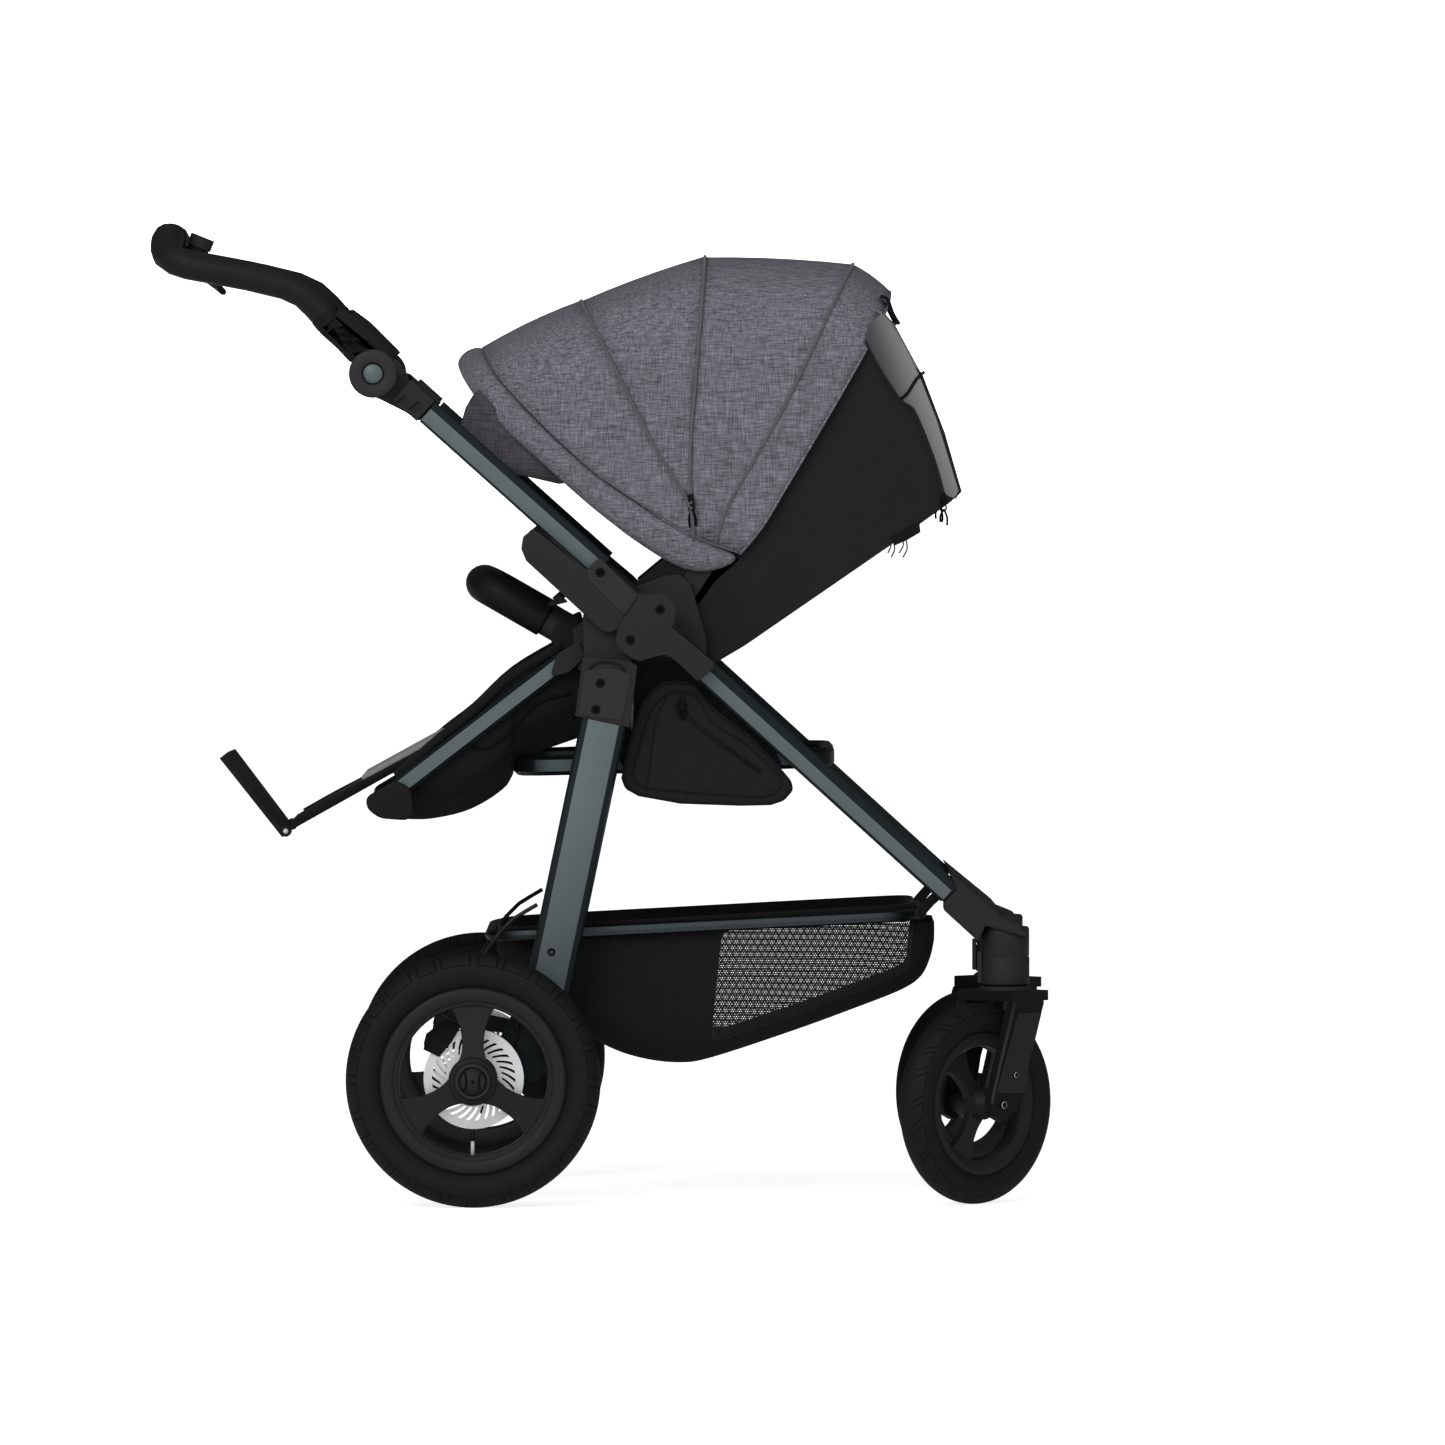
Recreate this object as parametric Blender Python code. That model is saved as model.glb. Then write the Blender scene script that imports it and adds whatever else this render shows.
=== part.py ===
"""Jogging stroller with a parent-facing seat unit, built as separate named parts.

Metres.  +X is the direction of travel, +Z is up and the origin is on the floor
below the middle of the object.  side = -1 is the right-hand (-Y) side.
"""
import math

import bmesh
import bpy
from mathutils import Matrix, Vector

SIDES = (("r", -1.0), ("l", 1.0))

# pivots of the chassis, (X, Z)
FOLD_PIVOT = (0.0683, 0.7147)
LEG_PIVOT = (0.0325, 0.6783)
HANDLE_PIVOT = (-0.2754, 0.9967)

# side frame layers, distance from the middle plane
TUBE_Y = 0.2017
TUBE_WIDE = 0.020
TUBE_DEEP = 0.030
CLAMP_LAYER = (0.2120, 0.2257)
OUTER_LAYER = (0.2260, 0.2340)
LEG_LAYER = (0.1955, 0.2115)
LEG_BLOCK_LAYER = (0.1955, 0.2255)
HUB_LAYER = (0.1605, 0.1752)

PUSH_TOP = (-0.2100, 0.9506)
PUSH_LOW = (-0.0020, 0.7645)
LEG_TOP = (0.0900, 0.2017, 0.6700)
LEG_END = (0.4153, 0.1830, 0.3741)

REAR_WHEEL = (-0.1550, 0.2700, 0.1525)
REAR_RADIUS = 0.1525
REAR_RIM = 0.1115
CASTER_X = 0.4835
CASTER_Y = 0.1630
CASTER_TRAIL = 0.0520
CASTER_TURN = math.radians(45.0)
FRONT_RADIUS = 0.1207
FRONT_RIM = 0.0860

RECLINE_PIVOT = (0.1000, 0.6800)
CANOPY_PIVOT = (0.1570, 0.7650)
BUMPER_PIVOT = (-0.0336, 0.6780)
LEGREST_PIVOT = (-0.2050, 0.5500)
FOOT_PIVOT = (-0.3870, 0.4430)

MATERIALS = {
    "anodised_tube": ((0.075, 0.105, 0.108, 1.0), 0.35, 0.85),
    "charcoal_plastic": ((0.022, 0.022, 0.023, 1.0), 0.55, 0.0),
    "black_rim": ((0.018, 0.018, 0.019, 1.0), 0.40, 0.0),
    "tyre_rubber": ((0.013, 0.013, 0.014, 1.0), 0.80, 0.0),
    "brake_steel": ((0.62, 0.62, 0.62, 1.0), 0.30, 1.0),
    "grip_cover": ((0.016, 0.016, 0.017, 1.0), 0.65, 0.0),
    "melange_fabric": ((0.17, 0.17, 0.19, 1.0), 0.90, 0.0),
    "black_fabric": ((0.015, 0.015, 0.016, 1.0), 0.90, 0.0),
    "cable_sheath": ((0.012, 0.012, 0.012, 1.0), 0.50, 0.0),
}


def clear_scene():
    for item in list(bpy.data.objects):
        bpy.data.objects.remove(item, do_unlink=True)


def material(name):
    """Return the named finish, making it on first use."""
    found = bpy.data.materials.get(name)
    if found:
        return found
    color, rough, metal = MATERIALS[name]
    made = bpy.data.materials.new(name)
    made.use_nodes = True
    shader = made.node_tree.nodes["Principled BSDF"]
    shader.inputs["Base Color"].default_value = color
    shader.inputs["Roughness"].default_value = rough
    shader.inputs["Metallic"].default_value = metal
    return made


def make(name, verts, faces, look, smooth=False):
    """Turn vertices and faces into one object with outward faces."""
    mesh = bpy.data.meshes.new(name)
    mesh.from_pydata([tuple(v) for v in verts], [], faces)
    work = bmesh.new()
    work.from_mesh(mesh)
    bmesh.ops.recalc_face_normals(work, faces=work.faces)
    for face in work.faces:
        face.smooth = smooth and len(face.verts) < 5
    work.to_mesh(mesh)
    work.free()
    item = bpy.data.objects.new(name, mesh)
    bpy.context.collection.objects.link(item)
    mesh.materials.append(material(look))
    return item


def plate(name, outline, near, far, look):
    """Side-view outline (X, Z) as a plate between two Y values."""
    count = len(outline)
    verts = [(x, near, z) for x, z in outline] + [(x, far, z) for x, z in outline]
    faces = [tuple(range(count)), tuple(range(2 * count - 1, count - 1, -1))]
    for k in range(count):
        n = (k + 1) % count
        faces.append((k, n, n + count, k + count))
    return make(name, verts, faces, look)


def side_plate(name, outline, layer, side, look):
    return plate(name, outline, side * layer[0], side * layer[1], look)


def box(name, low, high, look):
    outline = ((low[0], low[2]), (high[0], low[2]), (high[0], high[2]), (low[0], high[2]))
    return plate(name, outline, low[1], high[1], look)


def rounded_section(wide, deep, radius, steps=2):
    """Closed outline of a rectangle with rounded corners, centred."""
    points = []
    corners = ((1, 1, 0), (-1, 1, 90), (-1, -1, 180), (1, -1, 270))
    for sx, sz, start in corners:
        for k in range(steps + 1):
            turn = math.radians(start + 90.0 * k / steps)
            x = sx * (wide / 2 - radius) + radius * math.cos(turn)
            z = sz * (deep / 2 - radius) + radius * math.sin(turn)
            points.append((x, z))
    return points


def round_section(radius, count=10):
    return [(radius * math.cos(2 * math.pi * k / count),
             radius * math.sin(2 * math.pi * k / count)) for k in range(count)]


def sweep(name, path, section, keep, look, closed=False):
    """Carry a section along a path; its first axis stays near 'keep'."""
    path = [Vector(p) for p in path]
    keep = Vector(keep).normalized()
    total, ring = len(path), len(section)
    verts = []
    for k, point in enumerate(path):
        before = path[k - 1] if (k or closed) else point
        after = path[(k + 1) % total] if (k < total - 1 or closed) else point
        along = (after - before).normalized()
        first = (keep - along * keep.dot(along)).normalized()
        second = along.cross(first)
        for a, b in section:
            verts.append(point + first * a + second * b)
    faces = []
    for k in range(total if closed else total - 1):
        here, there = k * ring, ((k + 1) % total) * ring
        for j in range(ring):
            n = (j + 1) % ring
            faces.append((here + j, here + n, there + n, there + j))
    if not closed:
        faces.append(tuple(range(ring)))
        faces.append(tuple(range(total * ring - 1, (total - 1) * ring - 1, -1)))
    return make(name, verts, faces, look, smooth=True)


def corner(p0, p1, p2, radius, steps=3):
    """Points of a rounded corner at p1."""
    p0, p1, p2 = Vector(p0), Vector(p1), Vector(p2)
    start = p1 + (p0 - p1).normalized() * radius
    finish = p1 + (p2 - p1).normalized() * radius
    points = []
    for k in range(steps + 1):
        t = k / steps
        points.append(start * (1 - t) ** 2 + p1 * (2 * t * (1 - t)) + finish * t ** 2)
    return points


def lathe(name, profile, centre, axis, look, count=32, closed=True):
    """Turn (radius, offset) pairs around an axis through centre."""
    axis = Vector(axis).normalized()
    guide = Vector((0, 0, -1))
    if abs(axis.dot(guide)) > 0.9:
        guide = Vector((1, 0, 0))
    first = (guide - axis * guide.dot(axis)).normalized()
    second = axis.cross(first)
    centre = Vector(centre)
    verts, rows = [], []
    for radius, offset in profile:
        if radius < 1e-6:
            rows.append([len(verts)] * count)
            verts.append(centre + axis * offset)
            continue
        rows.append(list(range(len(verts), len(verts) + count)))
        for k in range(count):
            turn = 2 * math.pi * k / count
            out = first * math.cos(turn) + second * math.sin(turn)
            verts.append(centre + axis * offset + out * radius)
    faces = []
    pairs = len(rows) if closed else len(rows) - 1
    for k in range(pairs):
        here, there = rows[k], rows[(k + 1) % len(rows)]
        for j in range(count):
            n = (j + 1) % count
            loop = [here[j], here[n], there[n], there[j]]
            faces.append(tuple(dict.fromkeys(loop)))
    return make(name, verts, faces, look, smooth=True)


def drum(name, radius, low, high, centre, axis, look, count=20):
    profile = ((0.0, low), (radius, low), (radius, high), (0.0, high))
    return lathe(name, profile, centre, axis, look, count, closed=False)


def fuse(base, others, operation="UNION"):
    """Boolean other pieces into base and drop them."""
    for other in others:
        step = base.modifiers.new("join", "BOOLEAN")
        step.operation = operation
        step.solver = "EXACT"
        step.object = other
        bpy.context.view_layer.update()
        seen = base.evaluated_get(bpy.context.evaluated_depsgraph_get())
        result = bpy.data.meshes.new_from_object(seen)
        base.modifiers.remove(step)
        old = base.data
        base.data = result
        bpy.data.meshes.remove(old)
        bpy.data.objects.remove(other, do_unlink=True)
    base.data.name = base.name
    return base


def loft(name, rings, look):
    """Join closed rings of equal length, capping both ends."""
    count = len(rings[0])
    verts = [p for ring in rings for p in ring]
    faces = []
    for k in range(len(rings) - 1):
        for j in range(count):
            n = (j + 1) % count
            faces.append((k * count + j, k * count + n, (k + 1) * count + n,
                          (k + 1) * count + j))
    faces.append(tuple(range(count)))
    last = (len(rings) - 1) * count
    faces.append(tuple(range(last + count - 1, last - 1, -1)))
    return make(name, verts, faces, look)


def joint(name, where, children, parent=None):
    """Empty on a joint axis that carries the moving pieces."""
    marker = bpy.data.objects.new(name, None)
    marker.location = where
    marker.empty_display_size = 0.03
    bpy.context.collection.objects.link(marker)
    bpy.context.view_layer.update()
    if parent:
        marker.parent = parent
        marker.matrix_parent_inverse = parent.matrix_world.inverted()
    bpy.context.view_layer.update()
    for child in children:
        child.parent = marker
        child.matrix_parent_inverse = marker.matrix_world.inverted()
    return marker


# ---------------------------------------------------------------- wheels

def tyre_profile(outer, inner, half):
    """Section of a round tyre with a flat bead."""
    high = outer - inner
    return (
        (inner + 0.0004, -0.62 * half), (inner + 0.0004, 0.62 * half),
        (inner + 0.20 * high, 0.93 * half), (inner + 0.50 * high, half),
        (inner + 0.82 * high, 0.80 * half), (outer, 0.30 * half),
        (outer, -0.30 * half), (inner + 0.82 * high, -0.80 * half),
        (inner + 0.50 * high, -half), (inner + 0.20 * high, -0.93 * half),
    )


def spoke(name, start, finish, root, tip, half, centre, axis, turn, look):
    """Flared flat spoke from the hub to the rim in the wheel plane."""
    axis = Vector(axis).normalized()
    up = Vector((0, 0, 1))
    across = axis.cross(up)
    spin = Matrix.Rotation(turn, 3, axis)
    centre = Vector(centre)
    shape = ((-root, start), (root, start), (root * 0.9, (start + finish) * 0.45),
             (tip, finish), (-tip, finish), (-root * 0.9, (start + finish) * 0.45))
    verts = []
    for offset in (-half, half):
        for a, b in shape:
            verts.append(centre + spin @ (across * a + up * b) + axis * offset)
    count = len(shape)
    faces = [tuple(range(count)), tuple(range(2 * count - 1, count - 1, -1))]
    for k in range(count):
        n = (k + 1) % count
        faces.append((k, n, n + count, k + count))
    return make(name, verts, faces, look)


def rim(name, radius, inner, half, hub, hub_low, hub_high, centre, axis, count):
    """Rim ring, three flared spokes and the hub as one casting."""
    profile = ((radius, -half), (radius, half), (inner + 0.004, half), (inner, half - 0.003),
               (inner, 3 * 0.003 - half), (inner + 0.004, -half))
    ring = lathe(name, profile, centre, axis, "black_rim", count)
    middle = drum(name + "_hub", hub, hub_low, hub_high, centre, axis, "black_rim", 20)
    arms = []
    for k in range(3):
        arms.append(spoke("%s_arm%d" % (name, k), hub * 0.6, inner + 0.003, hub * 0.42,
                          hub * 0.85, 0.006, centre, axis, math.radians(120.0 * k),
                          "black_rim"))
    return fuse(ring, [middle] + arms)


def rear_wheel(tag, side):
    centre = (REAR_WHEEL[0], side * REAR_WHEEL[1], REAR_WHEEL[2])
    axis = (0, side, 0)
    tyre = lathe("rear_tyre_" + tag, tyre_profile(REAR_RADIUS, REAR_RIM, 0.0250),
                 centre, axis, "tyre_rubber", 36)
    wheel = rim("rear_rim_" + tag, REAR_RIM, 0.0930, 0.0150, 0.0285, -0.0340, 0.0280,
                centre, axis, 36)
    disc = lathe("brake_disc_" + tag,
                 ((0.0288, -0.0325), (0.0600, -0.0325), (0.0600, -0.0300), (0.0288, -0.0300)),
                 centre, axis, "brake_steel", 32)
    return joint("rear_wheel_spin_" + tag, centre, [tyre, wheel, disc])


def caster_frame(side):
    """Local fork frame: X ahead, Y to the left, turned to its parked angle."""
    return (Matrix.Translation((CASTER_X, side * CASTER_Y, 0.0))
            @ Matrix.Rotation(CASTER_TURN, 4, "Z"))


def fork(tag, side):
    frame = caster_frame(side)
    leg = ((-0.0330, 0.2440), (-0.0570, 0.1737), (-0.0705, 0.1317), (-0.0731, 0.1222),
           (-0.0688, 0.1078), (-0.0519, 0.1000), (-0.0315, 0.1114), (-0.0163, 0.1317),
           (-0.0113, 0.1497), (-0.0062, 0.1737), (0.0057, 0.2036), (0.0193, 0.2400),
           (0.0193, 0.2440))
    crown = box("fork_" + tag, (-0.0330, -0.0455, 0.2437), (0.0270, 0.0455, 0.2560),
                "charcoal_plastic")
    legs = [plate("fork_leg", leg, -0.0455, -0.0350, "charcoal_plastic"),
            plate("fork_leg", leg, 0.0350, 0.0455, "charcoal_plastic")]
    neck = drum("fork_neck", 0.0270, 0.2500, 0.2612, (0, 0, 0), (0, 0, 1),
                "charcoal_plastic", 24)
    whole = fuse(crown, legs + [neck])
    whole.data.transform(frame)
    return whole


def front_wheel(tag, side):
    frame = caster_frame(side)
    centre = frame @ Vector((-CASTER_TRAIL, 0.0, FRONT_RADIUS))
    axis = frame.to_3x3() @ Vector((0, 1, 0))
    tyre = lathe("front_tyre_" + tag, tyre_profile(FRONT_RADIUS, FRONT_RIM, 0.0215),
                 centre, axis, "tyre_rubber", 28)
    wheel = rim("front_rim_" + tag, FRONT_RIM, 0.0700, 0.0130, 0.0190, -0.0335, 0.0335,
                centre, axis, 28)
    return centre, [tyre, wheel]


# ---------------------------------------------------------------- chassis

def front_frame():
    """Front legs, outer plates, caster heads and the brace loop."""
    plate_line = ((0.0420, 0.7289), (0.0181, 0.6930), (0.0145, 0.6775), (0.0205, 0.6667),
                  (0.0360, 0.6553), (0.0444, 0.6529), (0.0623, 0.6583), (0.0743, 0.6607),
                  (0.0826, 0.6571), (0.1125, 0.6296), (0.1185, 0.6320), (0.1316, 0.6440),
                  (0.1328, 0.6512), (0.0826, 0.6930), (0.0862, 0.7038), (0.0868, 0.7169),
                  (0.0802, 0.7289), (0.0671, 0.7348), (0.0539, 0.7324))
    cuff_line = ((0.0900, 0.6510), (0.1125, 0.6296), (0.1320, 0.6480), (0.1060, 0.6730))
    for tag, side in SIDES:
        flip = Vector((1, side, 1))
        sweep("front_leg_" + tag, [Vector(LEG_TOP) * flip, Vector(LEG_END) * flip],
              rounded_section(TUBE_WIDE, TUBE_DEEP, 0.005), (0, 1, 0), "anodised_tube")
        outer = side_plate("front_plate_" + tag, plate_line, OUTER_LAYER, side,
                           "charcoal_plastic")
        cuff = side_plate("cuff", cuff_line, (0.2126, 0.2270), side, "charcoal_plastic")
        fuse(outer, [cuff])
        start = Vector((0.4170, 0.1829, 0.3725)) * flip
        finish = Vector((0.4800, 0.1640, 0.3150)) * flip
        head = sweep("front_head_" + tag, [start, finish],
                     rounded_section(0.0270, 0.0350, 0.006), (0, 1, 0), "charcoal_plastic")
        post = drum("post", 0.0283, 0.2617, 0.3320, (CASTER_X, side * CASTER_Y, 0),
                    (0, 0, 1), "charcoal_plastic", 24)
        fuse(head, [post])
        low, high = sorted((side * 0.1550, side * 0.1710))
        box("swivel_lock_" + tag, (0.4500, low, 0.2640), (0.4548, high, 0.3020),
            "charcoal_plastic")
    half, back, front = 0.1662, -0.1010, 0.2700
    rear_z, front_z = 0.5245, 0.5350
    corners = [(back, -half, rear_z), (front, -half, front_z), (front, half, front_z),
               (back, half, rear_z)]
    path = []
    for k in range(4):
        path += corner(corners[k - 1], corners[k], corners[(k + 1) % 4], 0.055, 3)
    brace = sweep("brace_loop", path, rounded_section(0.0240, 0.0160, 0.005, 1), (0, 0, 1),
                  "anodised_tube", closed=True)
    stubs = []
    for tag, side in SIDES:
        low, high = sorted((side * 0.1640, side * 0.1822))
        stubs.append(box("stub", (0.2340, low, 0.5240), (0.2560, high, 0.5400),
                         "anodised_tube"))
    fuse(brace, stubs)
    bag = ((0.0441, 0.6261), (0.0357, 0.6117), (0.0225, 0.5086), (0.0297, 0.4906),
           (0.1160, 0.4786), (0.2119, 0.4810), (0.2280, 0.4966), (0.2270, 0.5122),
           (0.1160, 0.6381), (0.0920, 0.6429))
    plate("side_bag", bag, -0.1870, -0.1765, "black_fabric")


def push_frame():
    """Push tubes with their lower clamp plates and the handle hinges."""
    clamp = ((-0.0838, 0.8112), (-0.0957, 0.8016), (-0.0981, 0.7872), (-0.0922, 0.7729),
             (-0.0311, 0.7166), (-0.0036, 0.6903), (0.0072, 0.6867), (0.0179, 0.6903),
             (0.0420, 0.7060), (0.0600, 0.6960), (0.0780, 0.6990), (0.0850, 0.7110),
             (0.0820, 0.7250), (0.0640, 0.7330), (0.0419, 0.7340), (-0.0030, 0.7755),
             (-0.0203, 0.7620))
    hinge_line = ((-0.2590, 0.9730), (-0.2429, 0.9572), (-0.2195, 0.9440),
                  (-0.2050, 0.9590), (-0.2450, 0.9970), (-0.2560, 1.0120),
                  (-0.2754, 1.0200), (-0.2950, 0.9967), (-0.2754, 0.9740))
    pieces = []
    for tag, side in SIDES:
        pieces.append(sweep("push_tube_" + tag,
                            [(PUSH_LOW[0], side * TUBE_Y, PUSH_LOW[1]),
                             (PUSH_TOP[0], side * TUBE_Y, PUSH_TOP[1])],
                            rounded_section(TUBE_WIDE, TUBE_DEEP, 0.005), (0, 1, 0),
                            "anodised_tube"))
        pieces.append(side_plate("push_plate_" + tag, clamp, CLAMP_LAYER, side,
                                 "charcoal_plastic"))
        arm = side_plate("hinge_base_" + tag, hinge_line, (0.1860, 0.2000), side,
                         "charcoal_plastic")
        sleeve_low = Vector((-0.2124, side * TUBE_Y, 0.9527))
        sleeve_top = Vector((-0.2400, side * TUBE_Y, 0.9775))
        sleeve = sweep("sleeve", [sleeve_low, sleeve_top],
                       rounded_section(0.0260, 0.0340, 0.006), (0, 1, 0), "charcoal_plastic")
        hub = drum("hub", 0.0200, 0.1860, 0.2000,
                   (HANDLE_PIVOT[0], 0, HANDLE_PIVOT[1]), (0, side, 0),
                   "charcoal_plastic", 24)
        pieces.append(fuse(arm, [hub, sleeve]))
        trigger = ((-0.0520, 0.7335), (-0.0672, 0.7199), (-0.0624, 0.7180),
                   (-0.0420, 0.7230))
        side_plate("release_trigger_" + tag, trigger, (0.1960, 0.2100), side,
                   "charcoal_plastic")
    return pieces


def handle():
    """Covered U-shaped grip with its hinge arms, brake lever and knob."""
    side_path = ((-0.3315, 1.0650), (-0.3440, 1.0790), (-0.3590, 1.0930), (-0.3810, 1.1032),
                 (-0.4229, 1.1134), (-0.4589, 1.1202), (-0.4972, 1.1272))
    bend = ((-0.5135, -0.1985, 1.1325), (-0.5235, -0.1850, 1.1395), (-0.5268, -0.1620, 1.1485),
            (-0.5268, -0.1350, 1.1560), (-0.5262, -0.1050, 1.1600))
    path = [Vector((x, -0.2017, z)) for x, z in side_path] + [Vector(p) for p in bend]
    far = [Vector((p.x, -p.y, p.z)) for p in reversed(path)]
    grip = sweep("grip_bar", path + far, round_section(0.0180, 12), (0.3, 0, 1), "grip_cover")
    arm_line = ((-0.3281, 1.0610), (-0.3365, 1.0520), (-0.3050, 1.0200),
                (-0.2990, 1.0090), (-0.2960, 0.9850), (-0.2754, 0.9740),
                (-0.2560, 0.9850), (-0.2510, 0.9967), (-0.2600, 1.0180),
                (-0.3230, 1.0690))
    pieces = [grip]
    for tag, side in SIDES:
        arm = side_plate("hinge_arm_" + tag, arm_line, (0.2003, 0.2180), side,
                         "charcoal_plastic")
        cap = lathe("cap", ((0.0123, 0.2010), (0.0290, 0.2010), (0.0290, 0.2200),
                            (0.0123, 0.2200)),
                    (HANDLE_PIVOT[0], 0, HANDLE_PIVOT[1]), (0, side, 0),
                    "charcoal_plastic", 20)
        hole = drum("hole", 0.0125, 0.2090, 0.2300,
                    (HANDLE_PIVOT[0], 0, HANDLE_PIVOT[1]), (0, side, 0),
                    "charcoal_plastic", 20)
        fuse(arm, [cap])
        pieces.append(fuse(arm, [hole], "DIFFERENCE"))
        drum("hinge_button_" + tag, 0.0118, 0.2130, 0.2212,
             (HANDLE_PIVOT[0], 0, HANDLE_PIVOT[1]), (0, side, 0), "anodised_tube", 20)
    lever = [(-0.5060, -0.0150, 1.1350), (-0.4920, -0.0400, 1.1190),
             (-0.4690, -0.0900, 1.1030), (-0.4585, -0.1600, 1.0965)]
    sweep("brake_lever", lever, rounded_section(0.0080, 0.0130, 0.003, 1), (0.75, 0, 0.66),
          "charcoal_plastic")
    drum("park_knob", 0.0150, -0.0070, 0.0070, (-0.4905, 0.0, 1.1560),
         (0.375, 0, 0.927), "charcoal_plastic", 20)
    return pieces


def rear_frame():
    """Rear legs, their hub blocks, the axle, calipers and the basket."""
    hub_line = ((-0.0242, 0.7080), (-0.0230, 0.6540), (0.0290, 0.6500), (0.0500, 0.6620),
                (0.0560, 0.6766), (0.0500, 0.6950), (0.0330, 0.7015), (0.0120, 0.7090),
                (-0.0060, 0.7120))
    block_line = ((-0.0242, 0.6569), (-0.0335, 0.5869), (0.0320, 0.5732), (0.0407, 0.6473),
                  (0.0300, 0.6533))
    foot_line = ((-0.1150, 0.2100), (-0.0500, 0.2200), (-0.0530, 0.1700), (-0.1150, 0.1250),
                 (-0.1700, 0.1310), (-0.1800, 0.1525), (-0.1700, 0.1740),
                 (-0.1300, 0.1800))
    pieces = []
    for tag, side in SIDES:
        plate_part = side_plate("leg_hub_" + tag, hub_line, LEG_LAYER, side,
                                "charcoal_plastic")
        block = side_plate("block", block_line, LEG_BLOCK_LAYER, side, "charcoal_plastic")
        pieces.append(fuse(plate_part, [block]))
        leg = sweep("rear_leg_" + tag,
                    [(0.0008, side * 0.2105, 0.5793), (-0.0610, side * 0.2105, 0.2850),
                     (-0.0830, side * 0.2105, 0.1800)],
                    rounded_section(0.0300, 0.0550, 0.008), (0, 1, 0), "anodised_tube")
        foot = side_plate("foot", foot_line, (0.1990, 0.2230), side, "anodised_tube")
        boss = drum("boss", 0.0200, 0.2100, 0.2355, (REAR_WHEEL[0], 0, REAR_WHEEL[2]),
                    (0, side, 0), "anodised_tube", 20)
        pieces.append(fuse(leg, [foot, boss]))
        pieces.append(caliper(tag, side))
        pieces.append(brake_cable(tag, side))
    pieces.append(drum("rear_axle", 0.0125, -0.1987, 0.1987,
                       (REAR_WHEEL[0], 0, REAR_WHEEL[2]), (0, 1, 0), "anodised_tube", 16))
    pieces.append(basket_rail())
    basket()
    pieces.append(named("basket"))
    return pieces


def caliper(tag, side):
    """Brake caliper straddling the upper rear edge of the disc."""
    outline = ((-0.1960, 0.1790), (-0.1820, 0.1960), (-0.1700, 0.2160), (-0.1900, 0.2230),
               (-0.2120, 0.2060), (-0.2150, 0.1880))
    bridge = ((-0.1925, 0.2035), (-0.1700, 0.2160), (-0.1900, 0.2230), (-0.2120, 0.2060),
              (-0.2150, 0.1940), (-0.2040, 0.1890))
    inner = side_plate("caliper_" + tag, outline, (0.2233, 0.2365), side, "charcoal_plastic")
    outer = side_plate("pad", outline, (0.2410, 0.2450), side, "charcoal_plastic")
    back = side_plate("bridge", bridge, (0.2300, 0.2440), side, "charcoal_plastic")
    arm_line = ((-0.2000, 0.1900), (-0.1900, 0.2150), (-0.1120, 0.1980), (-0.1200, 0.1820))
    arm = side_plate("arm", arm_line, (0.2233, 0.2300), side, "charcoal_plastic")
    return fuse(inner, [back, outer, arm])


def brake_cable(tag, side):
    """Cable housing looping from the leg to its caliper."""
    y = side * 0.2150
    knots = [(-0.0790, y, 0.3605), (-0.0926, y, 0.3526), (-0.1080, y, 0.3430),
             (-0.1233, y, 0.3277), (-0.1348, y, 0.3124), (-0.1424, y, 0.3009),
             (-0.1570, y, 0.2780), (-0.1740, y, 0.2520), (-0.1900, side * 0.2200, 0.2270)]
    path = []
    for k in range(len(knots) - 1):
        a, b = Vector(knots[k]), Vector(knots[k + 1])
        path += [a, a.lerp(b, 0.5)]
    path.append(Vector(knots[-1]))
    return sweep("brake_cable_" + tag, path, round_section(0.0025, 8), (0, 1, 0),
                 "cable_sheath")


def basket_rail():
    """Tube around the top of the basket, narrower towards the front."""
    back, front = -0.1370, 0.3830
    rear_half, front_half = 0.1700, 0.1400
    rear_z, front_z = 0.3200, 0.3445
    corners = [(back, -rear_half, rear_z), (front, -front_half, front_z),
               (front, front_half, front_z), (back, rear_half, rear_z)]
    path = []
    for k in range(4):
        path += corner(corners[k - 1], corners[k], corners[(k + 1) % 4], 0.050, 3)
    rail = sweep("basket_rail", path, round_section(0.0072, 8), (0, 0, 1), "anodised_tube",
                 closed=True)
    lugs = []
    for tag, side in SIDES:
        low, high = sorted((side * 0.1660, side * 0.1952))
        lugs.append(box("lug", (-0.0680, low, 0.3160), (-0.0500, high, 0.3290),
                        "anodised_tube"))
    return fuse(rail, lugs)


def basket():
    """Open-topped fabric basket hung inside its rail; the floor rises at both ends."""
    bottom = ((-0.1280, 0.2980, 0.0950), (-0.1000, 0.2600, 0.1380), (-0.0500, 0.2180, 0.1490),
              (0.0007, 0.1858, 0.1480), (0.0439, 0.1700, 0.1450), (0.0920, 0.1642, 0.1430),
              (0.1340, 0.1714, 0.1410), (0.2361, 0.2050, 0.1350), (0.3082, 0.2315, 0.1300),
              (0.3450, 0.2480, 0.1180), (0.3600, 0.2620, 0.1050), (0.3700, 0.2900, 0.0860),
              (0.3720, 0.3140, 0.0820))
    stations = [(x, 0.3140 + 0.0245 * (x + 0.122) / 0.494, z, half) for x, z, half in bottom]
    trough("basket", stations, 0.0030, "black_fabric")


# ---------------------------------------------------------------- seat unit

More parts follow.
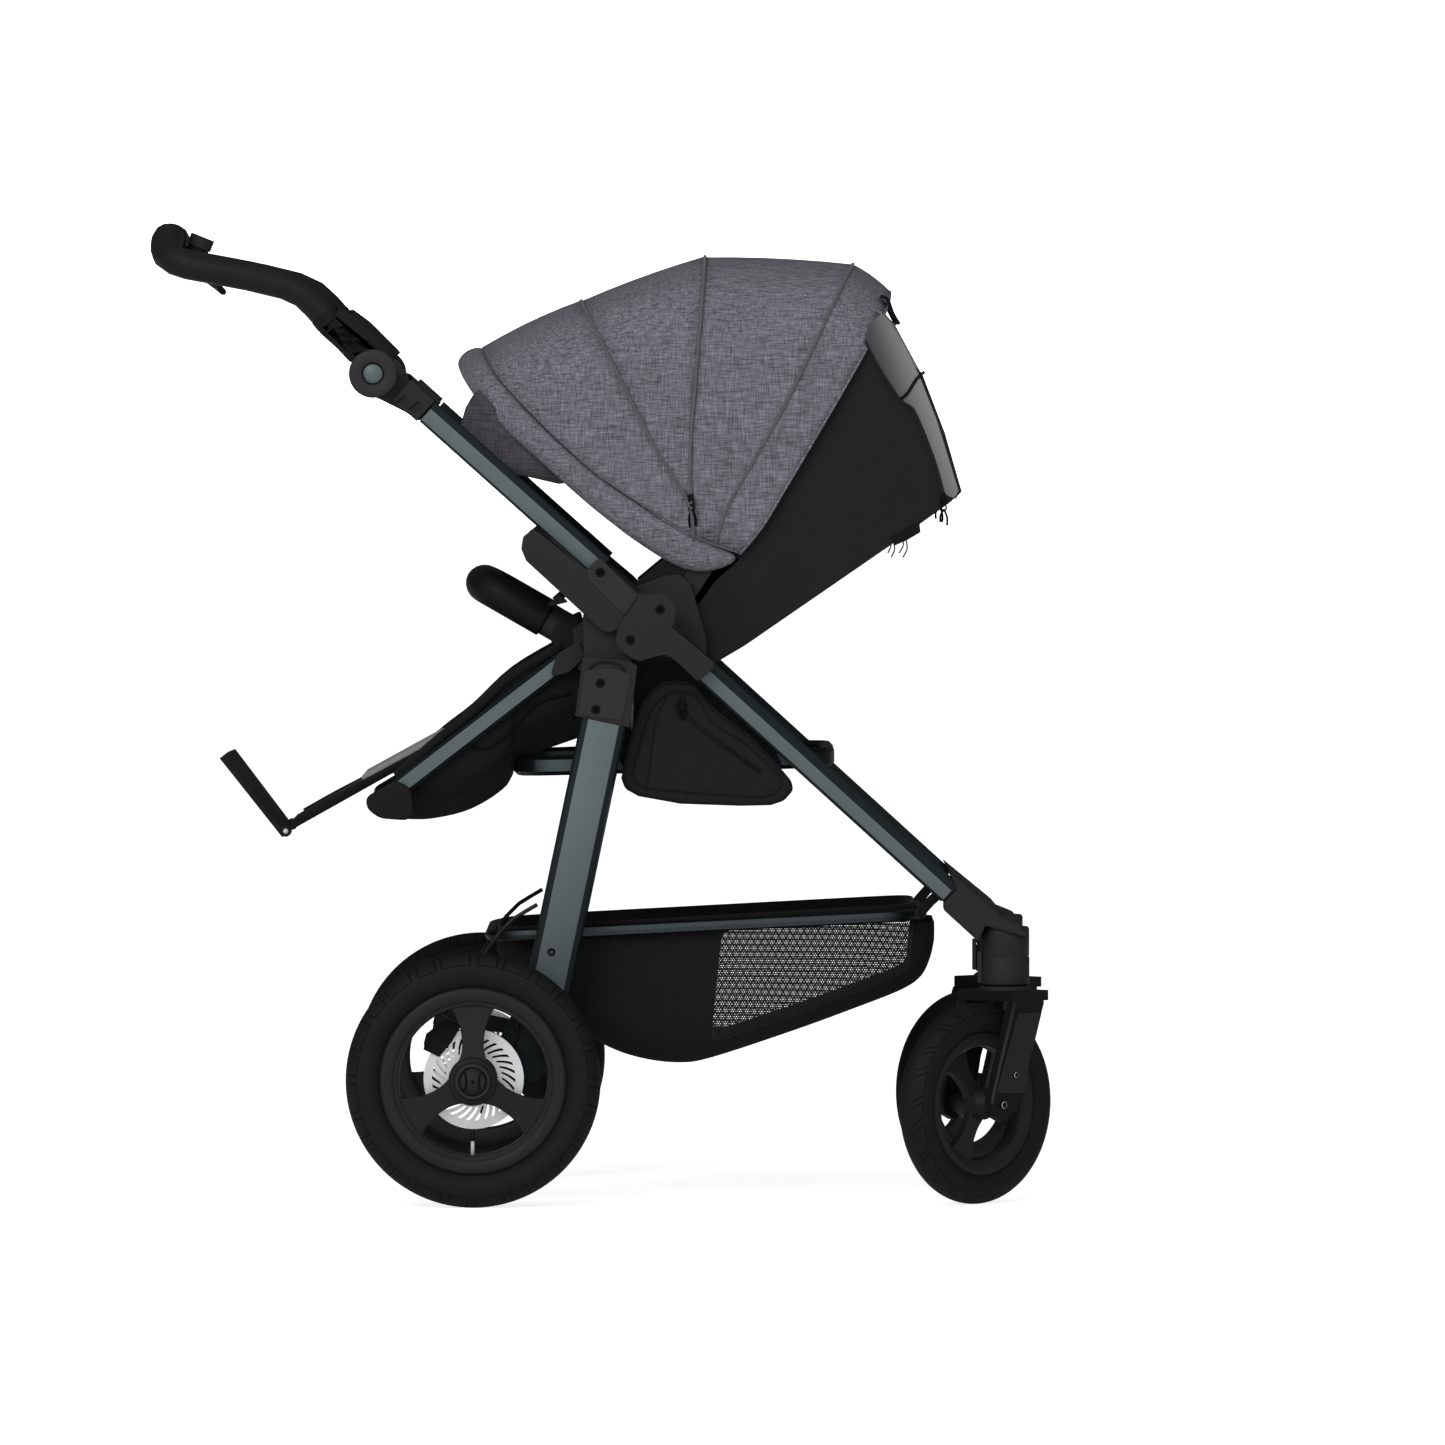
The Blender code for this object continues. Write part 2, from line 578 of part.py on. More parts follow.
def trough(name, stations, skin, look):
    """Open channel along X from (x, top, floor, half width) stations."""
    rings = []
    for x, top, floor, half in stations:
        soft = min(0.035, (top - floor) * 0.5)
        outer = [(-half, top), (-half, floor + soft), (-half + 0.3 * soft, floor + 0.3 * soft),
                 (-half + soft, floor), (half - soft, floor),
                 (half - 0.3 * soft, floor + 0.3 * soft), (half, floor + soft), (half, top)]
        inner_half, inner_floor = half - skin, floor + skin
        inner = [(inner_half, top), (inner_half, floor + soft + 0.3 * skin),
                 (inner_half - soft, inner_floor), (soft - inner_half, inner_floor),
                 (-inner_half, floor + soft + 0.3 * skin), (-inner_half, top)]
        rings.append([(x, y, z) for y, z in outer + inner])
    return loft(name, rings, look)


def seat_unit():
    """Seat hubs, frame loop and hanging fabric tub."""
    hub_line = ((-0.0300, 0.6400), (-0.0380, 0.6900), (0.0200, 0.7330), (0.0720, 0.7540),
                (0.0900, 0.7560), (0.1050, 0.7450), (0.1150, 0.7100), (0.1240, 0.6800),
                (0.1240, 0.6600), (0.1000, 0.6420), (0.0300, 0.6300))
    for tag, side in SIDES:
        side_plate("seat_hub_" + tag, hub_line, HUB_LAYER, side, "charcoal_plastic")
    half = 0.1670
    path = [(-0.0440, -half, 0.6548), (-0.2450, -half, 0.4995)]
    near = Vector((-0.2740, -half, 0.4770))
    far = Vector((-0.2740, half, 0.4770))
    points = [Vector(path[0])] + corner(path[1], near, far, 0.030, 3)
    points += [Vector((p.x, -p.y, p.z)) for p in reversed(points)]
    sweep("seat_tube", points, rounded_section(0.0230, 0.0120, 0.004, 1), (-0.61, 0, 0.79),
          "anodised_tube")
    stations = [(x, top, floor, 0.1580) for x, top, floor in (
        (-0.2380, 0.5080, 0.4600), (-0.2150, 0.5300, 0.4600), (-0.1600, 0.5730, 0.4720),
        (-0.1240, 0.6030, 0.4990), (-0.1140, 0.6120, 0.5390), (-0.0600, 0.6400, 0.5450),
        (0.0000, 0.6480, 0.5660), (0.0700, 0.6500, 0.5950))]
    trough("seat_tub", stations, 0.0100, "black_fabric")


def backrest():
    """Open fabric shell: back panel, head end and both side walls."""
    outer = ((0.1015, 0.7153), (0.1160, 0.6516), (0.1352, 0.6492), (0.1700, 0.6697),
             (0.3443, 0.7898), (0.4164, 0.8415), (0.4309, 0.8547), (0.4104, 0.9257),
             (0.3828, 0.9978), (0.3240, 1.0500))
    inner = ((0.0600, 0.7200), (0.1140, 0.7140), (0.1280, 0.6640), (0.1640, 0.6810),
             (0.3370, 0.8000), (0.4060, 0.8500), (0.4170, 0.8620), (0.3990, 0.9220),
             (0.3720, 0.9910), (0.3150, 1.0410), (0.3150, 1.1200), (0.0500, 1.1200))
    shell = plate("backrest", outer, -0.1580, 0.1580, "black_fabric")
    room = plate("room", inner, -0.1500, 0.1500, "black_fabric")
    return fuse(shell, [room], "DIFFERENCE")


def canopy_panel(name, start, finish, grow):
    """Fan panel between two bow angles, turned about the canopy pivot."""
    arch = ((0.1650, 0.0850), (0.1650, 0.2700), (0.1620, 0.3300), (0.1440, 0.3560),
            (0.1000, 0.3680), (0.0500, 0.3730))
    skin = 0.0020
    outer = [(-y - grow, r + grow * (r > 0.1)) for y, r in arch]
    outer += [(y + grow, r + grow * (r > 0.1)) for y, r in reversed(arch)]
    inner = [(-y - grow + skin, r + (grow - skin) * (r > 0.1)) for y, r in arch]
    inner += [(y + grow - skin, r + (grow - skin) * (r > 0.1)) for y, r in reversed(arch)]
    section = outer + inner[::-1]
    steps = max(2, round((finish - start) / 6.5))
    rings = []
    for k in range(steps + 1):
        turn = math.radians(start + (finish - start) * k / steps)
        ring = []
        for y, r in section:
            ring.append((CANOPY_PIVOT[0] + r * math.cos(turn), y,
                         CANOPY_PIVOT[1] + r * math.sin(turn)))
        rings.append(ring)
    return loft(name, rings, "melange_fabric")


def legrest():
    board = plate("legrest_board", ((-0.2080, 0.5520), (-0.2030, 0.5440), (-0.3740, 0.4480),
                                    (-0.3790, 0.4560)), -0.1250, 0.1250, "black_fabric")
    plate_part = plate("footplate", ((-0.3880, 0.4370), (-0.3830, 0.4430), (-0.4540, 0.5370),
                                     (-0.4640, 0.5330)), -0.1200, 0.1200, "charcoal_plastic")
    return board, plate_part


def bumper():
    half = 0.1360
    near = Vector((-0.1440, -half, 0.7410))
    far = Vector((-0.1440, half, 0.7410))
    root = Vector((-0.0420, -half, 0.6830))
    path = [root] + corner(root, near, far, 0.055, 4)
    path += [Vector((p.x, -p.y, p.z)) for p in reversed(path)]
    return sweep("bumper_bar", path, round_section(0.0195, 10), (0.5, 0, 0.87), "grip_cover")


def named(name):
    return bpy.data.objects[name]


def build():
    clear_scene()
    front_frame()
    push_pieces = push_frame()
    handle_pieces = handle()
    rear_pieces = rear_frame()
    seat_unit()
    back = backrest()
    panels = [canopy_panel("canopy_rear", 59.6, 95.6, 0.0),
              canopy_panel("canopy_mid", 95.9, 121.8, 0.0050),
              canopy_panel("canopy_front", 122.1, 141.0, 0.0100)]
    board, foot = legrest()
    bar = bumper()

    push = joint("fold_axis", (FOLD_PIVOT[0], 0, FOLD_PIVOT[1]), push_pieces)
    grip = joint("handle_axis", (HANDLE_PIVOT[0], 0, HANDLE_PIVOT[1]), handle_pieces, push)
    rear = joint("rear_fold_axis", (LEG_PIVOT[0], 0, LEG_PIVOT[1]), rear_pieces)
    joint("brake_lever_axis", (-0.5060, -0.0150, 1.1350), [named("brake_lever")], grip)
    joint("park_knob_axis", (-0.4905, 0, 1.1560), [named("park_knob")], grip)
    for tag, side in SIDES:
        where = (HANDLE_PIVOT[0], side * 0.2150, HANDLE_PIVOT[1])
        joint("hinge_button_axis_" + tag, where, [named("hinge_button_" + tag)], grip)
        joint("release_axis_" + tag, (-0.0560, side * 0.2030, 0.7240),
              [named("release_trigger_" + tag)], push)
        joint("swivel_lock_axis_" + tag, (0.4500, side * 0.1630, 0.2830),
              [named("swivel_lock_" + tag)])
        wheel = rear_wheel(tag, side)
        wheel.parent = rear
        wheel.matrix_parent_inverse = rear.matrix_world.inverted()
        piece = fork(tag, side)
        centre, spinning = front_wheel(tag, side)
        swivel = joint("caster_axis_" + tag, (CASTER_X, side * CASTER_Y, 0.2612), [piece])
        joint("front_wheel_spin_" + tag, centre, spinning, swivel)
    recline = joint("recline_axis", (RECLINE_PIVOT[0], 0, RECLINE_PIVOT[1]),
                    [back, panels[0]])
    mid = joint("canopy_mid_axis", (CANOPY_PIVOT[0], 0, CANOPY_PIVOT[1]), [panels[1]], recline)
    joint("canopy_front_axis", (CANOPY_PIVOT[0], 0, CANOPY_PIVOT[1]), [panels[2]], mid)
    calf = joint("legrest_axis", (LEGREST_PIVOT[0], 0, LEGREST_PIVOT[1]), [board])
    joint("footplate_axis", (FOOT_PIVOT[0], 0, FOOT_PIVOT[1]), [foot], calf)
    joint("bumper_axis", (BUMPER_PIVOT[0], 0, BUMPER_PIVOT[1]), [bar])


build()
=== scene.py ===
"""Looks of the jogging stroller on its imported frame: finishes, fabric, hardware, light and camera.

Metres, in the frame of the part: +X ahead, +Z up, the right-hand side is at -Y.
"""
import math

import bmesh
import bpy
from mathutils import Matrix, Vector


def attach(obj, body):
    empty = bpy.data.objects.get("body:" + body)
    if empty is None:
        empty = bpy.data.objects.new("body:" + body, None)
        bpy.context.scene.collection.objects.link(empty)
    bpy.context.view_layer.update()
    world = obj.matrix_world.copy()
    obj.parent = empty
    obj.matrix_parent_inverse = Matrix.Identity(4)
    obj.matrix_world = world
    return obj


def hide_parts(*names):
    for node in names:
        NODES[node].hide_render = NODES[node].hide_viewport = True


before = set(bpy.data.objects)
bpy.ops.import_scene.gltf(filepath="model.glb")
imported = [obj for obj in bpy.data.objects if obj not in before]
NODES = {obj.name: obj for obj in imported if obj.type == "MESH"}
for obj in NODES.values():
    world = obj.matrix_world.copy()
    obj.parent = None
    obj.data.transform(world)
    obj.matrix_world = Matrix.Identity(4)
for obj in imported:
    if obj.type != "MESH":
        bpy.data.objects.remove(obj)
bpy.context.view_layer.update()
SIDES = (("r", "right", -1.0), ("l", "left", 1.0))

# places and sizes that several pieces share, in metres
REAR_X, REAR_Y, REAR_RADIUS = -0.155, 0.27, 0.1525
CASTER_X, CASTER_Y, FRONT_RADIUS = 0.4835, 0.163, 0.1207
TRAIL = 0.052  # wheel axle behind the steering axis
CASTER_TURN = math.radians(45.0)
HINGE_X, HINGE_Y, HINGE_Z = -0.2754, 0.22, 0.9967
KNOB_PLACE, KNOB_AXIS = (-0.4905, 0.0, 1.156), (0.375, 0.0, 0.927)
HOOD_HALF = 0.169  # half width of the canopy at its sides
CLOTH, THIN_CLOTH, THICK_CLOTH = 0.0014, 0.0016, 0.004
WELD_DISTANCE = 0.00002
CREASE = math.radians(38.0)


# ------ shader values

class Value:
    """A number in a node tree that takes arithmetic."""

    def __init__(self, tree, socket):
        self.tree, self.socket = tree, socket

    def math(self, kind, *others):
        node = self.tree.nodes.new("ShaderNodeMath")
        node.operation = kind
        for slot, item in enumerate((self,) + others):
            if isinstance(item, Value):
                self.tree.links.new(item.socket, node.inputs[slot])
            else:
                node.inputs[slot].default_value = item
        return Value(self.tree, node.outputs[0])

    def __add__(self, other):
        return self.math("ADD", other)

    def __sub__(self, other):
        return self.math("SUBTRACT", other)

    def __mul__(self, other):
        return self.math("MULTIPLY", other)

    def abs(self):
        return self.math("ABSOLUTE")

    def fract(self):
        return self.math("FRACT")

    def low(self, other):
        return self.math("MINIMUM", other)

    def high(self, other):
        return self.math("MAXIMUM", other)

    def ramp(self, start, finish):
        """0 at start, 1 at finish, clamped and smooth."""
        node = self.tree.nodes.new("ShaderNodeMapRange")
        node.interpolation_type = "SMOOTHSTEP"
        node.inputs["From Min"].default_value = start
        node.inputs["From Max"].default_value = finish
        self.tree.links.new(self.socket, node.inputs["Value"])
        return Value(self.tree, node.outputs["Result"])


class Finish:
    """One procedural material under construction."""

    def __init__(self, name, slot, color, rough, metal=0.0):
        self.item = bpy.data.materials.new(name)
        self.item.use_nodes = True
        self.item["slot"] = slot
        self.tree = self.item.node_tree
        self.shader = self.tree.nodes["Principled BSDF"]
        self.shader.inputs["Roughness"].default_value = rough
        self.shader.inputs["Metallic"].default_value = metal
        self.shader.inputs["Specular IOR Level"].default_value = 0.12
        self.place = self.tree.nodes.new("ShaderNodeTexCoord")
        self.color = color
        self.shade = None
        self.height = None

    def set(self, **values):
        for key, value in values.items():
            self.shader.inputs[key.replace("_", " ")].default_value = value
        return self

    def coord(self, kind="Object"):
        split = self.tree.nodes.new("ShaderNodeSeparateXYZ")
        self.tree.links.new(self.place.outputs[kind], split.inputs[0])
        return [Value(self.tree, out) for out in split.outputs]

    def noise(self, scale, detail=2.0, turn=0.0, rough=0.5):
        """Noise around 0.5; scale is one number or one along each axis."""
        if isinstance(scale, float):
            scale = (scale, scale, scale)
        mapping = self.tree.nodes.new("ShaderNodeMapping")
        mapping.inputs["Rotation"].default_value = (0.0, turn, 0.0)
        mapping.inputs["Scale"].default_value = scale
        made = self.tree.nodes.new("ShaderNodeTexNoise")
        made.inputs["Scale"].default_value = 1.0
        made.inputs["Detail"].default_value = detail
        made.inputs["Roughness"].default_value = rough
        self.tree.links.new(self.place.outputs["Object"], mapping.inputs[0])
        self.tree.links.new(mapping.outputs[0], made.inputs["Vector"])
        return Value(self.tree, made.outputs["Fac"])

    def cells(self, scale):
        made = self.tree.nodes.new("ShaderNodeTexVoronoi")
        made.inputs["Scale"].default_value = scale
        self.tree.links.new(self.place.outputs["Object"], made.inputs["Vector"])
        return Value(self.tree, made.outputs["Distance"])

    def tone(self, value):
        """Multiply the colour by a value near 1."""
        self.shade = value if self.shade is None else self.shade * value
        return self

    def bump(self, value, depth):
        value = value * depth
        self.height = value if self.height is None else self.height + value
        return self

    def rough(self, value):
        self.tree.links.new(value.socket, self.shader.inputs["Roughness"])
        return self

    def mix(self, first, second, share):
        node = self.tree.nodes.new("ShaderNodeMix")
        node.data_type = "RGBA"
        for key, item in (("A", first), ("B", second)):
            target = [s for s in node.inputs if s.name == key and s.type == "RGBA"][0]
            if isinstance(item, tuple):
                target.default_value = item + (1.0,)
            else:
                self.tree.links.new(item, target)
        self.tree.links.new(share.socket, node.inputs[0])
        return [s for s in node.outputs if s.type == "RGBA"][0]

    def done(self, base=None):
        """Wire the colour, its tone and the relief into the shader."""
        if self.shade is None:
            if base is None:
                self.shader.inputs["Base Color"].default_value = self.color + (1.0,)
            else:
                self.tree.links.new(base, self.shader.inputs["Base Color"])
        else:
            node = self.tree.nodes.new("ShaderNodeVectorMath")
            node.operation = "SCALE"
            if base is None:
                node.inputs[0].default_value = self.color
            else:
                self.tree.links.new(base, node.inputs[0])
            self.tree.links.new(self.shade.socket, node.inputs["Scale"])
            self.tree.links.new(node.outputs[0], self.shader.inputs["Base Color"])
        if self.height is not None:
            relief = self.tree.nodes.new("ShaderNodeBump")
            relief.inputs["Distance"].default_value = 1.0
            self.tree.links.new(self.height.socket, relief.inputs["Height"])
            self.tree.links.new(relief.outputs[0], self.shader.inputs["Normal"])
        return self.item


def even(value):
    return (value, value, value)


def anodised(name="anodised", face=(0.118, 0.148, 0.152), edge=(0.01, 0.016, 0.017), foot=False,
        line=None, bright=(0.0, 0.0)):
    """Petrol grey profile with painted shade where the section rounds over and, if asked, dark at
    its foot and darker towards the bottom.

    line is the middle of the tube as two (X, Z) points, and bright the band across it that
    keeps the face colour, a painted highlight; outside the band the dark edge colour is painted
    shade."""
    f = Finish(name, "anodised_tube", face, 0.42, 0.25)
    # painted shade: where the section turns away from the sides, the colour goes over to the dark
    # edge colour
    side = f.coord("Normal")[1].abs()
    grain = f.noise(500.0, 3.0)
    wear = f.noise(9.0, 3.0)
    f.tone((grain - 0.5) * 0.1 + 0.93).tone((wear - 0.5) * 0.18 + 1.0)
    f.bump(grain, 0.00002)
    # painted highlight: only the band across the tube keeps the face colour, and painted shade shows
    # outside it
    if line:
        (x0, z0), (x1, z1) = line
        run = math.hypot(x1 - x0, z1 - z0)
        over_x, over_z = (z0 - z1) / run, (x1 - x0) / run
        x, _, z = f.coord()
        across = x * over_x + z * over_z - (x0 * over_x + z0 * over_z)
        side = (side * across.ramp(bright[0] - 0.001, bright[0] + 0.001) * across.ramp(bright[1]
            + 0.001, bright[1] - 0.001))
    if foot:
        side = side * f.coord()[2].ramp(0.236, 0.244)
        f.tone(f.coord()[2].ramp(0.2, 0.5) * 0.45 + 0.62)
    return f.done(f.mix(edge, face, side.ramp(0.8, 0.985)))


def moulding(name, color, rough=0.55, slot="charcoal_plastic"):
    f = Finish(name, slot, color, rough)
    grain = f.cells(1400.0)
    wear = f.noise(14.0, 4.0)
    f.tone((wear - 0.5) * 0.25 + 1.0)
    f.rough((wear - 0.5) * 0.15 + rough)
    f.bump(grain, 0.00006)
    return f.done()


def weave(name, color, slot, pitch=0.0011, depth=0.00012, streak=0.22, sheen=0.15):
    """Plain woven cloth: crossed threads, uneven dye and a faint sheen."""
    f = Finish(name, slot, color, 0.92)
    x, y, z = f.coord()
    over = ((x + y) * (1.0 / pitch)).fract() - 0.5
    under = ((z + y) * (1.0 / pitch)).fract() - 0.5
    threads = over.abs() + under.abs()
    along = f.noise((60.0, 520.0, 700.0), 2.0, 0.22)
    down = f.noise((700.0, 520.0, 60.0), 2.0, 0.22)
    cloud = f.noise(22.0, 3.0)
    f.tone((along - 0.5) * streak * 2.0 + 1.0)
    f.tone((down - 0.5) * streak * 1.6 + 1.0)
    f.tone((cloud - 0.5) * 0.2 + 1.0)
    f.bump(threads, depth).bump(along + down, depth)
    f.set(Sheen_Weight=sheen, Sheen_Roughness=0.5, Sheen_Tint=(1.0, 1.0, 1.0, 1.0))
    return f.done()


def tread_finish(name, share, turns, lean=0.0):
    """Tyre rubber with moulded block outlines laid out along its UV."""
    f = Finish(name, "tyre_rubber", even(0.0085), 0.62)
    u, v, _ = f.coord("UV")
    cell = ((u + (v - 0.5).abs() * lean) * turns).fract()
    away = (v - 0.5).abs() * 2.0
    ends = ((cell - 0.27).abs() - 0.225).abs().low(((cell - 0.76).abs() - 0.15).abs())
    inside = ((cell - 0.27).abs().ramp(0.235, 0.225)).high((cell - 0.76).abs().ramp(0.16, 0.15))
    reach = away.ramp(share + 0.012, share) * away.ramp(0.13, 0.15)
    walls = ends.ramp(0.016, 0.006) * reach
    foot = (away - share).abs().ramp(0.014, 0.006) * inside
    groove = walls.high(foot)
    grain = f.noise(900.0, 2.0)
    dust = f.noise(16.0, 4.0)
    # painted shade: the groove lines are also made darker in colour, beside their bump
    f.tone(groove * -0.62 + 1.0).tone((dust - 0.5) * 0.35 + 1.0)
    f.bump(groove, -0.0011).bump(grain, 0.00004)
    return f.done()


def mesh_cloth(name):
    """Black basket cloth with an open net window set by its UV."""
    f = Finish(name, "black_fabric", even(0.0095), 0.9)
    u, v, _ = f.coord("UV")
    x, y, z = f.coord()
    wide = ((u - 0.5).abs() * 2.0).math("POWER", 16.0)
    tall = ((v - 0.5).abs() * 2.0).math("POWER", 16.0)
    window = (wide + tall).ramp(1.04, 0.96)
    pitch = (y.ramp(-0.01, 0.01) * 0.37 + 1.0) * (1.0 / 0.0034)
    row = (z * pitch * 1.1547).math("FLOOR")
    a = (x * pitch + row * 0.5).fract() - 0.5
    b = (z * pitch * 1.1547).fract() - 0.5
    hole = (a * a + b * b).ramp(0.115, 0.065) * window
    edge = (wide + tall - 1.0).abs().ramp(0.22, 0.12)
    grain = f.noise(300.0, 3.0)
    f.tone((grain - 0.5) * 0.5 + 1.0).tone(window * 0.9 + 1.0).tone(edge * 0.5 + 1.0)
    f.bump(grain, 0.0001).bump(edge, 0.0006)
    f.tree.links.new((hole * -1.0 + 1.0).socket, f.shader.inputs["Alpha"])
    return f.done()


def leather(name, color, slot="grip_cover"):
    f = Finish(name, slot, color, 0.52)
    pores = f.cells(420.0)
    creases = f.noise(120.0, 4.0)
    f.tone((creases - 0.5) * 0.5 + 1.0)
    f.bump(pores, 0.00016).bump(creases, 0.00025)
    return f.done()


def brushed(name):
    """Brake disc steel brushed in rings around its own axis."""
    f = Finish(name, "brake_steel", even(0.86), 0.38, 0.75)
    u, v, _ = f.coord("UV")
    rings = (v * 90.0).math("SINE")
    fine = f.noise(700.0, 2.0)
    f.tone(rings * 0.02 + 0.98).tone((fine - 0.5) * 0.1 + 1.0)
    f.bump(rings, 0.00003)
    return f.done()


def head_fabric():
    """Smooth grey cloth of the head end, darker towards the shell: painted shade."""
    f = Finish("head_panel", "melange_fabric", even(0.235), 0.9)
    x, y, z = f.coord()
    depth = (x * 0.938 + z * 0.346).ramp(0.655, 0.708)
    grain = f.noise(700.0, 2.0)
    # painted shade: the colour ramps down across the panel towards the shell
    f.tone(depth * 0.75 + 0.25).tone((grain - 0.5) * 0.15 + 1.0)
    f.bump(grain, 0.00005)
    return f.done()


TUBE = anodised()
FRONT_LEG = anodised("front_leg", line=((0.09, 0.67), (0.4153, 0.3741)), bright=(-0.012, 0.004))
PUSH_TUBE = anodised("push_tube", line=((-0.21, 0.9506), (-0.002, 0.7645)), bright=(-0.0125, 0.006))
LEG = anodised("leg", foot=True, line=((-0.061, 0.285), (0.0008, 0.5793)), bright=(-0.0195, 0.0195))
RAIL = anodised("rail", (0.07, 0.088, 0.094), (0.003, 0.004, 0.0045))
CHARCOAL = moulding("charcoal", even(0.02))
CHARCOAL_DARK = moulding("charcoal_dark", even(0.0065))
CHARCOAL_LIGHT = moulding("charcoal_light", even(0.027))
RIM = moulding("rim", even(0.017), 0.42, "black_rim")
SPOKE = moulding("spoke", even(0.015), 0.45, "black_rim")
SCREW = moulding("screw", even(0.0006), 0.55)
BRIGHT = moulding("bright_metal", even(0.55), 0.25, "brake_steel")
REAR_TREAD = tread_finish("rear_tread", 0.444, 12.0)
FRONT_TREAD = tread_finish("front_tread", 0.427, 11.0, 0.1)
STEEL = brushed("disc_steel")
GRIP = leather("grip", even(0.011))
BUMPER = leather("bumper_cover", even(0.005))
HOOD = weave("hood", (0.15, 0.146, 0.17), "melange_fabric", streak=1.05, sheen=0.0)
# darker copy of the hood cloth: painted shade on the visor under the front hem, and the dark zip
# tape on the sides
HOOD_SHADE_AND_ZIP = weave("hood_shade_and_zip", (0.062, 0.06, 0.068), "melange_fabric", streak=0.8, sheen=0.0)
# piping cord darker than the hood cloth: painted shade along the bows and the roll seam
HOOD_CORD_SHADED = weave("hood_piping_shaded", (0.105, 0.102, 0.112), "melange_fabric", 0.0008)
SHELL = weave("shell", even(0.0145), "black_fabric", 0.0008, 0.00006, 0.1, 0.05)
TUB = weave("tub", even(0.008), "black_fabric", 0.001, 0.0001, 0.18, 0.05)
HEAD = head_fabric()
PAD = weave("legrest_pad", even(0.24), "melange_fabric", 0.0009, 0.00008, 0.18)
BAG = weave("bag", even(0.013), "black_fabric", 0.0012, 0.0001, 0.16, 0.05)
NET = mesh_cloth("basket_cloth")
WEBBING = weave("webbing", even(0.007), "black_fabric", 0.0015, 0.0002, 0.2, 0.05)
CABLE = moulding("cable", even(0.01), 0.35, "cable_sheath")


# ------ shapes

def soften(item, width, steps=3, angle=30.0):
    """Rounded edges that leave the flats flat."""
    for face in item.data.polygons:
        face.use_smooth = True
    weld = item.modifiers.new("weld", "WELD")
    weld.merge_threshold = WELD_DISTANCE
    if width > 0.0:
        edge = item.modifiers.new("edge", "BEVEL")
        edge.width = width
        edge.segments = steps
        edge.limit_method = "ANGLE"
        edge.angle_limit = math.radians(angle)
        edge.harden_normals = True


def dress(name, look, width, angle=30.0):
    """Finish and edge rounding of a CAD node."""
    item = NODES[name]
    custom = item.data.attributes.get("custom_normal")
    if custom:
        item.data.attributes.remove(custom)
    item.data.materials.clear()
    item.data.materials.append(look)
    soften(item, width, 3, angle)
    if width == 0.0:
        item.modifiers.new("crease", "EDGE_SPLIT").split_angle = CREASE


def add(name, verts, faces, look, body, width=0.0, steps=3, angle=30.0, uv=None):
    """A new piece with outward faces that rides on a body."""
    mesh = bpy.data.meshes.new(name)
    mesh.from_pydata([tuple(v) for v in verts], [], faces)
    if uv:
        layer = mesh.uv_layers.new(name="UVMap")
        for face, values in zip(mesh.polygons, uv):
            for loop, value in zip(face.loop_indices, values):
                layer.data[loop].uv = value
    work = bmesh.new()
    work.from_mesh(mesh)
    bmesh.ops.recalc_face_normals(work, faces=work.faces)
    work.to_mesh(mesh)
    work.free()
    item = bpy.data.objects.new(name, mesh)
    bpy.context.collection.objects.link(item)
    mesh.materials.append(look)
    for face in mesh.polygons:
        face.use_smooth = True
    if width > 0.0:
        soften(item, width, steps, angle)
    if body:
        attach(item, body)
    return item


def rounded(outline, radius, steps=3):
    """Outline (X, Z) with its corners rounded."""
    points = []
    count = len(outline)
    for k in range(count):
        here = Vector(outline[k])
        before, after = Vector(outline[k - 1]), Vector(outline[(k + 1) % count])
        reach = min(radius, (before - here).length * 0.45, (after - here).length * 0.45)
        start = here + (before - here).normalized() * reach
        finish = here + (after - here).normalized() * reach
        for j in range(steps + 1):
            t = j / steps
            points.append(start * (1 - t) ** 2 + here * (2 * t * (1 - t)) + finish * t ** 2)
    return [(p.x, p.y) for p in points]


def slab(name, outline, near, far, look, body, width=0.0012, corner=0.0, frame_of=None):
    """Side outline as a plate between two Y values."""
    if corner:
        outline = rounded(outline, corner)
    count = len(outline)
    verts = [Vector((x, near, z)) for x, z in outline] + [Vector((x, far, z)) for x, z in outline]
    if frame_of:
        verts = [frame_of @ v for v in verts]
    faces = [tuple(range(count)), tuple(range(2 * count - 1, count - 1, -1))]
    for k in range(count):
        n = (k + 1) % count
        faces.append((k, n, n + count, k + count))
    return add(name, verts, faces, look, body, width)


def pair(name, outline, near, far, look, body, width=0.0012, corner=0.0):
    """The same side outline on the right and on the left of the stroller."""
    for tag, _, side in SIDES:
        slab("%s_%s" % (name, tag), outline, side * near, side * far, look, body, width, corner)


def smooth_path(points, steps=6, closed=False):
    """Catmull-Rom curve through the points."""
    points = [Vector(p) for p in points]
    count = len(points)
    result = []
    for k in range(count if closed else count - 1):
        if closed:
            p = [points[(k + j) % count] for j in (-1, 0, 1, 2)]
        else:
            p = [points[max(0, k - 1)], points[k], points[k + 1], points[min(count - 1, k + 2)]]
        for j in range(steps):
            t = j / steps
            result.append(0.5 * ((2 * p[1]) + (p[2] - p[0]) * t + (2 * p[0] - 5 * p[1] + 4 * p[2]
                - p[3]) * t * t + (3 * p[1] - p[0] - 3 * p[2] + p[3]) * t ** 3))
    if not closed:
        result.append(points[-1])
    return result


def disc_section(radius, count=10):
    return [(radius * math.cos(2 * math.pi * k / count), radius * math.sin(2 * math.pi * k / count))
        for k in range(count)]


def strap_section(wide, thick):
    return [(-wide / 2, -thick / 2), (wide / 2, -thick / 2), (wide / 2, thick / 2),
        (-wide / 2, thick / 2)]


